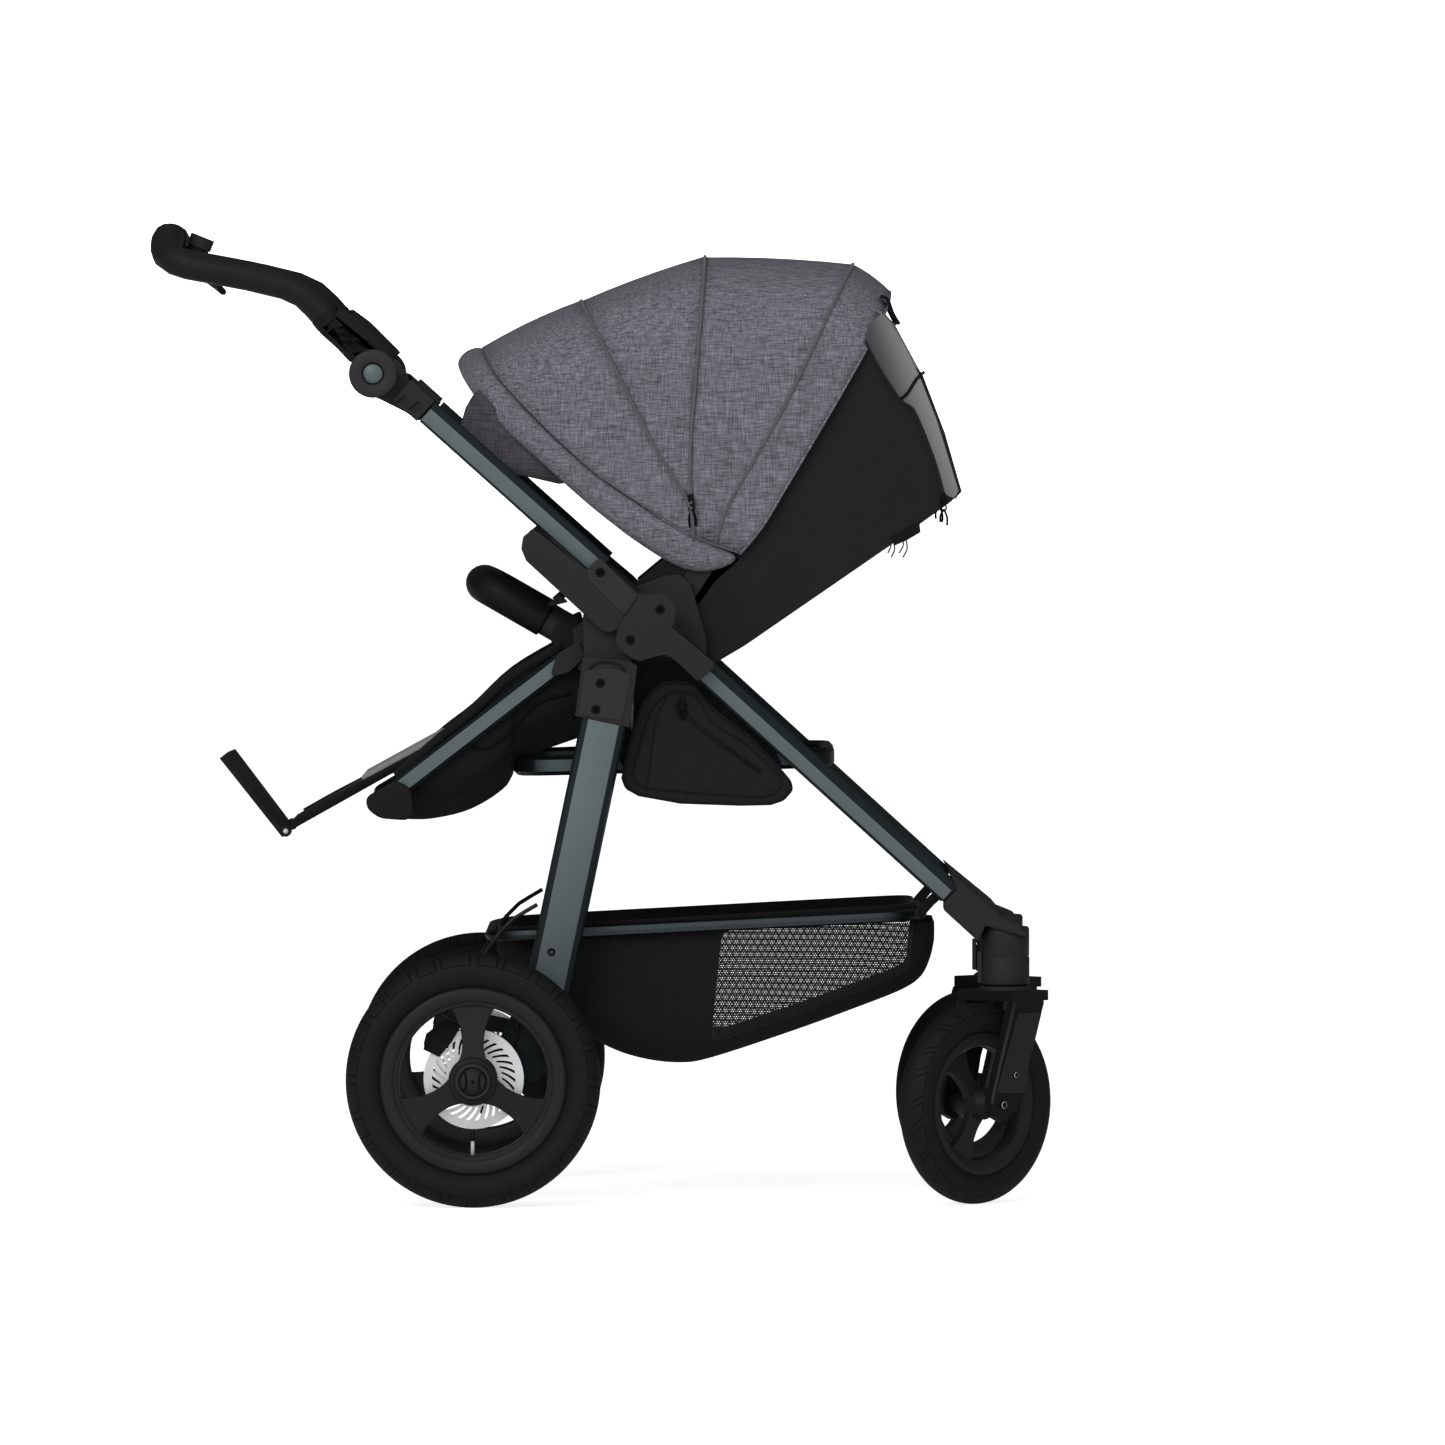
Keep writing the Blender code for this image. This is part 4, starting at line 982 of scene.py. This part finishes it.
# recline strap tabs under the shell
pair("strap_tab", [(0.344, 0.8), (0.38, 0.82), (0.381, 0.806), (0.364, 0.796), (0.35, 0.79)], 0.156,
    0.16, WEBBING, "seat_back", 0.0008)
for tag, body_tag, side in SIDES:
    y = side * 0.1585
    # padded grey head end with its piping
    head = ((0.318, 1.056), (0.335, 1.07), (0.348, 1.054), (0.364, 1.027), (0.379, 0.996),
        (0.401, 0.94), (0.427, 0.856), (0.422, 0.847), (0.411, 0.85), (0.401, 0.885),
        (0.387, 0.925), (0.372, 0.954), (0.356, 0.966), (0.33, 1.006), (0.315, 1.035))
    slab("head_panel_" + tag, head, side * 0.156, side * 0.1606, HEAD, "seat_back", 0.0018, 0.006)
    seam = [(x, side * 0.1612, z) for x, z in ((0.386, 0.999), (0.376, 0.99), (0.366, 0.974),
        (0.357, 0.966))]
    sweep("head_piping_" + tag, smooth_path(seam, 4), disc_section(0.0019, 8), SCREW, "seat_back")
    inner = [(x, side * 0.1609, z) for x, z in ((0.315, 1.035), (0.33, 1.006), (0.356, 0.966),
        (0.372, 0.954), (0.385, 0.925), (0.4, 0.885), (0.409, 0.848))]
    sweep("head_edge_" + tag, smooth_path(inner, 4), disc_section(0.0016, 8), SHELL, "seat_back")
    puller("back_zip_" + tag, 0.408, 0.844, 0.16, side, "seat_back", 0.004,
        ((-0.004, -0.016), (0.004, -0.02)))
    for k, (x0, z0, x1, z1) in enumerate(((0.348, 0.796, 0.346, 0.776), (0.364, 0.796, 0.36,
            0.776))):
        mid = Vector(((x0 + x1) / 2 + 0.003, side * 0.159, (z0 + z1) / 2))
        path = smooth_path([Vector((x0, side * 0.159, z0)), mid, Vector((x1, side * 0.159, z1))], 4)
        sweep("strap_tail_%s%d" % (tag, k), path, strap_section(0.0016, 0.003), WEBBING,
            "seat_back", (1, 0, 0))
# grey pad across the head end
pad_line = ((0.33, 1.074), (0.346, 1.057), (0.379, 0.996), (0.401, 0.94), (0.427, 0.856),
    (0.422, 0.846))
verts, faces = [], []
for offset in (0.0, -0.01):
    for y in (-0.16, -0.1, 0.0, 0.1, 0.16):
        for k, (x, z) in enumerate(pad_line):
            verts.append(Vector((x + offset + 0.006 * (1 - (y / 0.16) ** 2), y, z)))
count = len(pad_line)
for j in range(4):
    for k in range(count - 1):
        a = j * count + k
        faces.append((a, a + 1, a + count + 1, a + count))
head_pad = add("head_pad", verts, faces, HEAD, "seat_back")
head_pad.modifiers.new("thick", "SOLIDIFY").thickness = 0.003
for side in (-1, 1):
    loop = smooth_path([(0.333, side * 0.12, 1.09), (0.342, side * 0.12, 1.086),
        (0.348, side * 0.12, 1.07), (0.356, side * 0.12, 1.056)], 5)
    sweep("grab_loop_%d" % side, loop, strap_section(0.016, 0.004), WEBBING, "seat_back")


def tub_shell():
    """Seat tub fabric hanging in the seat loop."""
    top = smooth_path([(-0.242, 0, 0.512), (-0.1965, 0, 0.56), (-0.1605, 0, 0.59),
        (-0.1124, 0, 0.638), (-0.0667, 0, 0.656), (0.0, 0, 0.652), (0.07, 0, 0.652)], 5)
    low = smooth_path([(-0.242, 0, 0.462), (-0.2086, 0, 0.4617), (-0.1605, 0, 0.4737),
        (-0.1184, 0, 0.5014), (-0.1064, 0, 0.53), (-0.0283, 0, 0.5603), (0.07, 0, 0.595)], 5)
    rings = []
    for a, b in zip(top, low):
        soft = min(0.045, (a.z - b.z) * 0.5)
        ring = [(a.x, 0.16, a.z)]
        for k in range(4):
            t = k / 3
            ring.append((a.x + (b.x - a.x) * (0.25 + 0.75 * t), 0.16 - 0.001 * k,
                a.z + (b.z + soft - a.z) * (0.25 + 0.75 * t)))
        for k in range(1, 6):
            turn = math.pi / 2 * k / 5
            ring.append((b.x, 0.157 - soft * math.sin(turn) * 0.9, b.z + soft
                * (1 - math.sin(turn))))
        ring.append((b.x, 0.0, b.z))
        rings.append(ring)
    verts, faces = [], []
    for ring in rings:
        full = [(x, -y, z) for x, y, z in ring] + [(x, y, z) for x, y, z in reversed(ring[:-1])]
        verts += [Vector(p) for p in full]
        count = len(full)
    for k in range(len(rings) - 1):
        for j in range(count - 1):
            a = k * count + j
            faces.append((a, a + 1, a + count + 1, a + count))
    faces.append(tuple(range(count)))
    faces.append(tuple(range((len(rings) - 1) * count, len(rings) * count)))
    item = add("seat_cloth", verts, faces, TUB, "front_frame")
    thick = item.modifiers.new("cloth", "SOLIDIFY")
    thick.thickness = THICK_CLOTH
    thick.offset = 0.0
    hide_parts("seat_tub")
    for side in (-1, 1):
        for k, line in enumerate((((-0.236, 0.505), (-0.2, 0.487), (-0.16, 0.5), (-0.12, 0.535),
                (-0.09, 0.56), (-0.03, 0.585)), ((-0.18, 0.562), (-0.15, 0.545), (-0.12, 0.56),
                (-0.08, 0.6), (-0.04, 0.612)))):
            path = smooth_path([(x, side * 0.1618, z) for x, z in line], 5)
            sweep("seat_seam_%d_%d" % (side, k), path, disc_section(0.0016, 6), SCREW,
                "front_frame")


tub_shell()

# black covers where the seat loop turns at the foot end, and the plastic end at the hub
pair("loop_cover", [(-0.2857, 0.4876), (-0.2845, 0.4744), (-0.27, 0.4623), (-0.2363, 0.4599),
    (-0.2278, 0.4683), (-0.23, 0.498), (-0.25, 0.509)], 0.15, 0.18, CHARCOAL_DARK, "front_frame",
    0.003, 0.01)
pair("loop_end", [(-0.028, 0.6762), (-0.022, 0.656), (-0.042, 0.637), (-0.064, 0.633),
    (-0.056, 0.66)], 0.158, 0.18, CHARCOAL, "front_frame", 0.0016, 0.006)
pair("bumper_mount", [(-0.0585, 0.6935), (-0.0308, 0.7055), (-0.0248, 0.6754), (-0.0344, 0.6574),
    (-0.0525, 0.6634), (-0.0645, 0.6754)], 0.148, 0.16, CHARCOAL_DARK, "front_frame", 0.002, 0.004)
pair("canopy_arm", [(0.042, 0.729), (0.0385, 0.746), (0.0735, 0.775), (0.1, 0.76), (0.094, 0.75)],
    0.148, 0.16, CHARCOAL_DARK, "front_frame", 0.0015)
for tag, body_tag, side in SIDES:
    edge = [(-0.05, side * 0.164, 0.67), (-0.1124, side * 0.164, 0.633), (-0.1605, side * 0.164,
        0.588), (-0.1965, side * 0.164, 0.56), (-0.25, side * 0.164, 0.513)]
    sweep("seat_edge_" + tag, smooth_path(edge, 4), disc_section(0.0055, 10), TUB, "front_frame")
    # legrest side pad and front edge
    rim_line = [(-0.369, side * 0.124, 0.459), (-0.33, side * 0.125, 0.481),
        (-0.2936, side * 0.1255, 0.5), (-0.2213, side * 0.125, 0.539)]
    sweep("legrest_roll_" + tag, smooth_path(rim_line, 4), disc_section(0.005, 10), TUB, "legrest")
pad = add("legrest_top", [Vector(p) for p in ((-0.197, -0.118, 0.564), (-0.197, 0.118, 0.564),
    (-0.2936, 0.118, 0.511), (-0.2936, -0.118, 0.511), (-0.202, -0.118, 0.552),
    (-0.202, 0.118, 0.552), (-0.29, 0.118, 0.503), (-0.29, -0.118, 0.503))],
    [(0, 1, 2, 3), (4, 5, 6, 7), (0, 1, 5, 4), (1, 2, 6, 5), (2, 3, 7, 6), (3, 0, 4, 7)], PAD,
    "legrest", 0.003)

# footplate: hinge barrels and bright pins
for tag, body_tag, side in SIDES:
    barrel = Matrix.Translation((-0.384, side * 0.112, 0.445))
    lathe("foot_barrel_" + tag, ((0.0, -0.01), (0.007, -0.01), (0.007, 0.01), (0.0, 0.01)), barrel,
        CHARCOAL_DARK, "foot", 24, 0.0015)
    lathe("foot_pin_" + tag, ((0.0, -0.0108), (0.003, -0.0108), (0.003, 0.0108), (0.0, 0.0108)),
        barrel, BRIGHT, "foot", 16)

# bumper bar: covered bend and slimmer plastic ends
half = 0.136
root = Vector((-0.07, -half, 0.699))
bend = [Vector((-0.11, -half, 0.722)), Vector((-0.132, -half * 0.97, 0.7345)),
    Vector((-0.144, -half * 0.82, 0.741)), Vector((-0.147, -half * 0.5, 0.743)),
    Vector((-0.148, 0, 0.7435))]
run = [root] + bend + [Vector((p.x, -p.y, p.z)) for p in reversed([root] + bend[:-1])]
cover = sweep("bumper_sleeve", smooth_path(run, 6), disc_section(0.0205, 20), BUMPER, "bumper",
    (0.5, 0, 0.87), width=0.003)
for tag, body_tag, side in SIDES:
    end = smooth_path([(-0.074, side * half, 0.701), (-0.056, side * half, 0.6905),
        (-0.04, side * half, 0.6815)], 3)
    sweep("bumper_end_" + tag, end, disc_section(0.0172, 16), CHARCOAL, "bumper", (0.5, 0, 0.87),
        width=0.003)
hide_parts("bumper_bar")


# ------ chassis hardware

pair("clamp_cap", [(-0.019, 0.752), (-0.0203, 0.761), (-0.012, 0.77), (-0.0035, 0.7765),
    (0.0419, 0.7299), (0.0264, 0.7071)], 0.212, 0.228, CHARCOAL_LIGHT, "push_frame", 0.0016, 0.003)
bolts("clamp_bolt", -0.0034, 0.7589, 0.2284, "push_frame", 0.0056)
bolts("fold_bolt", 0.0683, 0.7147, 0.2344, "front_frame", 0.0056)
bolts("leg_bolt", 0.0325, 0.6783, 0.2344, "front_frame", 0.0056)
pair("leg_sleeve", [(-0.022, 0.642), (-0.03, 0.588), (0.0225, 0.581), (0.0345, 0.637),
    (0.008, 0.645)], 0.22, 0.227, CHARCOAL_LIGHT, "rear_frame", 0.0014, 0.004)
bolts("sleeve_bolt_a", -0.0034, 0.6263, 0.2274, "rear_frame", 0.0054)
bolts("sleeve_bolt_b", -0.0087, 0.5946, 0.2274, "rear_frame", 0.0054)
bolts("basket_bolt", -0.062, 0.3039, 0.2258, "rear_frame", 0.0048)
pair("cuff_line", [(0.112, 0.629), (0.1185, 0.6318), (0.1316, 0.644), (0.1325, 0.6505),
    (0.129, 0.654), (0.106, 0.6345)], 0.213, 0.23, CHARCOAL, "front_frame", 0.0012)
# far half of the fold block: dark inner plate seen past the clamp
pair("block_back", [(-0.012, 0.786), (0.033, 0.748), (0.044, 0.737), (0.02, 0.72), (-0.02, 0.76)],
    0.188, 0.201, CHARCOAL_DARK, "push_frame", 0.0015)
pair("hinge_sleeve", [(-0.341, 1.047), (-0.3135, 1.0768), (-0.2908, 1.0601), (-0.2525, 1.0218),
    (-0.2716, 1.0112), (-0.3027, 1.0098), (-0.3183, 1.0266)], 0.2006, 0.218, CHARCOAL_DARK,
    "handle", 0.006, 0.004)
pair("hinge_root", [(-0.3003, 0.9787), (-0.2429, 0.9978), (-0.2022, 0.9619), (-0.2202, 0.9392),
    (-0.2381, 0.9512), (-0.2692, 0.9667)], 0.186, 0.2001, CHARCOAL, "push_frame", 0.003, 0.004)
# black bracket between leg and bag
pair("leg_inner", [(0.03, 0.666), (0.062, 0.662), (0.09, 0.65), (0.08, 0.63), (0.035, 0.625)], 0.17,
    0.176, CHARCOAL_DARK, "front_frame", 0.0015, 0.004)
for tag, body_tag, side in SIDES:
    # dark strip along the top of the leg sleeve: painted shadow under its recess
    arch = [(x, side * 0.2268, z) for x, z in ((-0.017, 0.643), (-0.008, 0.65), (0.006, 0.6515),
        (0.019, 0.648), (0.026, 0.64))]
    sweep("leg_sleeve_shadow_" + tag, smooth_path(arch, 4), strap_section(0.001, 0.003), CHARCOAL_DARK,
        "rear_frame")

    # head: square socket running into the steering post
    head = slab("head_cap_" + tag, [(0.4133, 0.3997), (0.4732, 0.3505), (0.4792, 0.3433),
        (0.4996, 0.3349), (0.5092, 0.3241), (0.5104, 0.319), (0.4589, 0.3337), (0.4505, 0.3145),
        (0.4085, 0.353), (0.4085, 0.3613), (0.4241, 0.3769), (0.42, 0.388)], side * 0.15,
        side * 0.1955, CHARCOAL, "front_frame", 0.005)
    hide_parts("front_head_" + tag)
    post = Matrix.Translation((CASTER_X, side * CASTER_Y, 0.0)) @ Matrix.Rotation(math.radians(90),
        4, "X")
    lathe("post_" + tag, ((0.0, 0.2625), (0.0286, 0.2625), (0.0289, 0.264), (0.0289, 0.2945),
        (0.0281, 0.2955), (0.0281, 0.2965), (0.0286, 0.2975), (0.0286, 0.329), (0.027, 0.332),
        (0.0, 0.3325)), post, CHARCOAL, "front_frame", 56)
    lathe("crown_" + tag, ((0.0, 0.2605), (0.029, 0.2605), (0.0315, 0.258), (0.033, 0.254),
        (0.03, 0.248), (0.0, 0.248)), post, CHARCOAL, "caster_" + body_tag, 56)

    # handle hinge: hub ring and face, and grip ribs on the sleeve and root
    hinge = local(HINGE_X, side * HINGE_Y, HINGE_Z, side)
    lathe("hinge_ring_" + tag, ((0.0125, 0.001), (0.029, 0.001), (0.029, -0.0012),
        (0.0272, -0.0028), (0.015, -0.0028), (0.013, -0.001)), hinge, CHARCOAL_LIGHT, "handle", 56)
    lathe("hinge_face_" + tag, ((0.0, -0.0014), (0.0112, -0.0014), (0.012, -0.0006), (0.012, 0.002),
        (0.0, 0.002)), hinge, TUBE, "button_" + body_tag, 40)
    for k, (x, z) in enumerate(((-0.329, 1.048), (-0.242, 0.966), (-0.226, 0.959))):
        rib = [Vector((x + 0.006 * j, side * 0.2222, z + 0.0045 * j)) for j in (-1, 0, 1)]
        sweep("hinge_rib_%s%d" % (tag, k), rib, disc_section(0.0014, 6), CHARCOAL_DARK,
            "handle" if k == 0 else "push_frame")

# grip: end collars, parking brake and lever seats
for tag, body_tag, side in SIDES:
    collar = [(-0.326, side * 0.2017, 1.0575), (-0.335, side * 0.2017, 1.069)]
    sweep("grip_collar_" + tag, collar, disc_section(0.0186, 24), CHARCOAL_DARK, "handle",
        width=0.002)
upright = Vector((0.0, 1.0, 0.0)).rotation_difference(Vector(KNOB_AXIS))
knob_turn = Matrix.Translation(KNOB_PLACE) @ upright.to_matrix().to_4x4()
lathe("knob_seat", ((0.0154, -0.0112), (0.014, -0.0108), (0.0138, -0.0176), (0.0, -0.0176),
    (0.0, -0.019), (0.0154, -0.019)), knob_turn, CHARCOAL_DARK, "handle", 40, 0.0006)
lathe("knob_skirt", ((0.0, -0.006), (0.0132, -0.006), (0.0132, -0.0136), (0.0, -0.0136)), knob_turn,
    CHARCOAL_DARK, "knob", 40, 0.0006)
sweep("knob_arm", [(-0.522, 0.0, 1.154), (-0.504, 0.0, 1.139), (-0.495, 0.0, 1.137)],
    strap_section(0.026, 0.011), CHARCOAL_DARK, "handle", width=0.003)
sweep("lever_seat", [(-0.5262, -0.03, 1.16), (-0.5262, 0.03, 1.16)], disc_section(0.0188, 28),
    CHARCOAL_DARK, "handle", (1, 0, 0), width=0.002)
sweep("lever_ear", [(-0.523, -0.015, 1.148), (-0.5075, -0.015, 1.137)], strap_section(0.016, 0.009),
    CHARCOAL_DARK, "handle", width=0.002)

# strap lying on the rear bar of the brace loop
strap = [(-0.101, y, 0.5345) for y in (-0.11, -0.05, 0.0, 0.05, 0.11)]
sweep("brace_strap", strap, strap_section(0.003, 0.028), WEBBING, "front_frame", (0, 0, 1))

# ------ basket

FLOOR_LINE = ((-0.13, 0.3, 0.098), (-0.1, 0.26, 0.141), (-0.05, 0.218, 0.152),
    (0.0007, 0.1858, 0.151), (0.0439, 0.17, 0.148), (0.092, 0.1642, 0.146), (0.134, 0.1714, 0.144),
    (0.2361, 0.205, 0.138), (0.3082, 0.2315, 0.133), (0.36, 0.252, 0.12), (0.383, 0.268, 0.112),
    (0.394, 0.29, 0.104), (0.399, 0.312, 0.096))
# upper hem, inside the rail (X, half width)
HEM = ((-0.128, 0.07), (-0.125, 0.115), (-0.108, 0.148), (-0.07, 0.158), (0.03, 0.153),
    (0.16, 0.1455), (0.28, 0.1385), (0.34, 0.133), (0.364, 0.118), (0.373, 0.085), (0.374, 0.04))


def basket_cloth():
    line = smooth_path([(x, y, z) for x, z, y in FLOOR_LINE], 6)
    verts, uvs, faces = [], [], []
    depth = 8
    for p in line:
        share = (p.x + 0.13) / 0.515
        top = min(0.318 + 0.025 * share, 0.334)
        wide = p.y
        soft = min(0.05, (top - p.z) * 0.45)
        row = []
        for k in range(depth + 1):
            t = k / depth
            z = top + (p.z + soft - top) * t
            row.append((wide * (1.0 + 0.018 * math.sin(math.pi * t)), z))
        for k in range(1, 6):
            turn = math.pi / 2 * k / 5
            row.append((wide - soft * (1 - math.cos(turn)), p.z + soft * (1 - math.sin(turn))))
        row.append((0.0, p.z - 0.001))
        full = [(-y, z) for y, z in row] + [(y, z) for y, z in reversed(row[:-1])]
        for y, z in full:
            verts.append(Vector((p.x, y, z)))
            low, high = p.z + 0.02, 0.314 + 0.0471 * (p.x + 0.137) * 0.95
            uvs.append(((p.x - 0.14 + 0.1 * (0.3 - z)) / 0.23, (z - low) / max(0.02, high - low)))
    count = len(full)
    uv = []
    for k in range(len(line) - 1):
        for j in range(count - 1):
            a = k * count + j
            loop = (a, a + 1, a + count + 1, a + count)
            faces.append(loop)
            uv.append([uvs[i] for i in loop])
    for base in (0, (len(line) - 1) * count):
        loop = tuple(range(base, base + count))
        faces.append(loop)
        uv.append([(-5.0, -5.0)] * count)
    item = add("basket_cloth", verts, faces, NET, "rear_frame", uv=uv)
    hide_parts("basket")
    loop = list(HEM) + [(x, -y) for x, y in reversed(HEM)]
    hem = smooth_path([(x, y, 0.323 + 0.056 * (x + 0.137)) for x, y in loop], 4, True)
    band = sweep("basket_hem", hem, strap_section(0.013, 0.003), WEBBING, "rear_frame", (0, 0, 1),
        True, width=0.001)


basket_cloth()
for tag, body_tag, side in SIDES:
    hook = smooth_path([(0.378, side * 0.142, 0.344), (0.392, side * 0.15, 0.36),
        (0.402, side * 0.16, 0.37), (0.408, side * 0.17, 0.38)], 5)
    sweep("basket_strap_" + tag, hook, strap_section(0.012, 0.003), WEBBING, "rear_frame",
        (0, 0, 1))

# ------ side bag

BAG_LINE = ((0.0709, 0.6265), (0.0561, 0.6157), (0.0453, 0.6012), (0.0369, 0.5796),
    (0.0258, 0.5361), (0.0213, 0.5109), (0.0258, 0.4983), (0.042, 0.4893), (0.0926, 0.4802),
    (0.1648, 0.4777), (0.2009, 0.4785), (0.2172, 0.4839), (0.228, 0.4965), (0.2262, 0.5073),
    (0.2154, 0.5201), (0.1973, 0.5398), (0.1793, 0.5597), (0.1576, 0.576), (0.1359, 0.5922),
    (0.1215, 0.6085), (0.1106, 0.6229), (0.0998, 0.6265), (0.0854, 0.6284))
bag = slab("bag_body", BAG_LINE, -0.1895, -0.1765, BAG, "front_frame", 0.004)
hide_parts("side_bag")


slab("bag_backing", [(0.0104, 0.6425), (0.068, 0.6521), (0.116, 0.6497), (0.1352, 0.6161),
    (0.2, 0.5537), (0.218, 0.5225), (0.116, 0.4901), (0.026, 0.5201), (0.0104, 0.5501)], -0.1762,
    -0.1745, TUB, "front_frame", 0.0004, 0.01)
sweep("bag_hanger", [(0.0344, -0.1785, 0.6473), (0.0344, -0.1785, 0.5681)],
    strap_section(0.003, 0.0014), PAD, "front_frame", (1, 0, 0))


def inset(outline, amount):
    """Outline moved towards its middle by a fixed distance."""
    middle = sum((Vector(p) for p in outline), Vector((0, 0))) / len(outline)
    return [tuple(Vector(p) + (middle - Vector(p)).normalized() * amount) for p in outline]


for k, amount in enumerate((0.003, 0.015)):
    rim_path = [(x, -0.1898, z) for x, z in inset(BAG_LINE, amount)]
    sweep("bag_piping_%d" % k, rim_path, disc_section(0.0015, 8), WEBBING, "front_frame",
        closed=True)
zip_run = [(0.084, -0.1902, 0.599), (0.125, -0.1902, 0.564), (0.188, -0.1902, 0.519)]
sweep("bag_zip", zip_run, strap_section(0.0012, 0.005), WEBBING, "front_frame")
bag_seam = [(x, -0.1899, z) for x, z in ((0.076, 0.61), (0.063, 0.58), (0.056, 0.53),
    (0.051, 0.495))]
sweep("bag_seam_0", smooth_path(bag_seam, 4), disc_section(0.0009, 6), WEBBING, "front_frame")
puller("bag_pull", 0.094, 0.601, 0.19, -1, "front_frame", 0.006, ((0.001, -0.01),))

# ------ light, floor and camera

floor_mesh = bpy.data.meshes.new("floor")
floor_mesh.from_pydata([(-30, -14, 0), (30, -14, 0), (30, 60, 0), (-30, 60, 0)], [], [(0, 1, 2, 3)])
floor = bpy.data.objects.new("floor", floor_mesh)
bpy.context.collection.objects.link(floor)
paper = Finish("paper", "", even(0.92), 0.9)
paper.tone((paper.noise(3.0, 2.0) - 0.5) * 0.01 + 1.0)
paper.set(Emission_Color=(1.0, 1.0, 1.0, 1.0))
seen = Value(paper.tree, paper.tree.nodes.new("ShaderNodeLightPath").outputs["Is Camera Ray"])
paper.tree.links.new((seen * 0.68 + 0.12).socket, paper.shader.inputs["Emission Strength"])
floor_mesh.materials.append(paper.done())

world = bpy.data.worlds.new("studio")
world.use_nodes = True
bpy.context.scene.world = world
tree = world.node_tree
background = tree.nodes["Background"]
background.inputs["Color"].default_value = (1.0, 1.0, 1.0, 1.0)
facing = tree.nodes.new("ShaderNodeTexCoord")
split = tree.nodes.new("ShaderNodeSeparateXYZ")
tree.links.new(facing.outputs["Generated"], split.inputs[0])
ahead = Value(tree, split.outputs[1]) * -1.0
upward = Value(tree, split.outputs[2])
seen = Value(tree, tree.nodes.new("ShaderNodeLightPath").outputs["Is Camera Ray"])
tent = ahead.ramp(0.05, 0.95) * 0.95 + upward.ramp(0.3, 1.0) * 0.12 + 0.08
tree.links.new((seen * 2.0).high(tent).socket, background.inputs["Strength"])


def area(name, place, aim, size, power):
    light = bpy.data.lights.new(name, "AREA")
    light.shape = "RECTANGLE"
    light.size, light.size_y = size
    light.energy = power
    item = bpy.data.objects.new(name, light)
    item.location = place
    item.rotation_euler = (Vector(aim) - Vector(place)).to_track_quat("-Z", "Y").to_euler()
    bpy.context.collection.objects.link(item)


area("key", (-2.2, -4.6, 3.6), (0, 0, 0.6), (3.0, 3.0), 110.0)
area("top", (0.5, -0.5, 5.0), (0, 0, 0.4), (5.0, 5.0), 12.0)

camera_data = bpy.data.cameras.new("camera")
camera_data.lens = 311.0  # mm, seen from about 15 m
camera_data.sensor_width = 36.0
camera_data.clip_end = 200.0
camera = bpy.data.objects.new("camera", camera_data)
camera.location = (0.143, -15.17, 1.0122)
camera.rotation_euler = (math.radians(88.34), 0.0, 0.0)
bpy.context.collection.objects.link(camera)
bpy.context.scene.camera = camera
bpy.context.scene.view_settings.view_transform = "Standard"
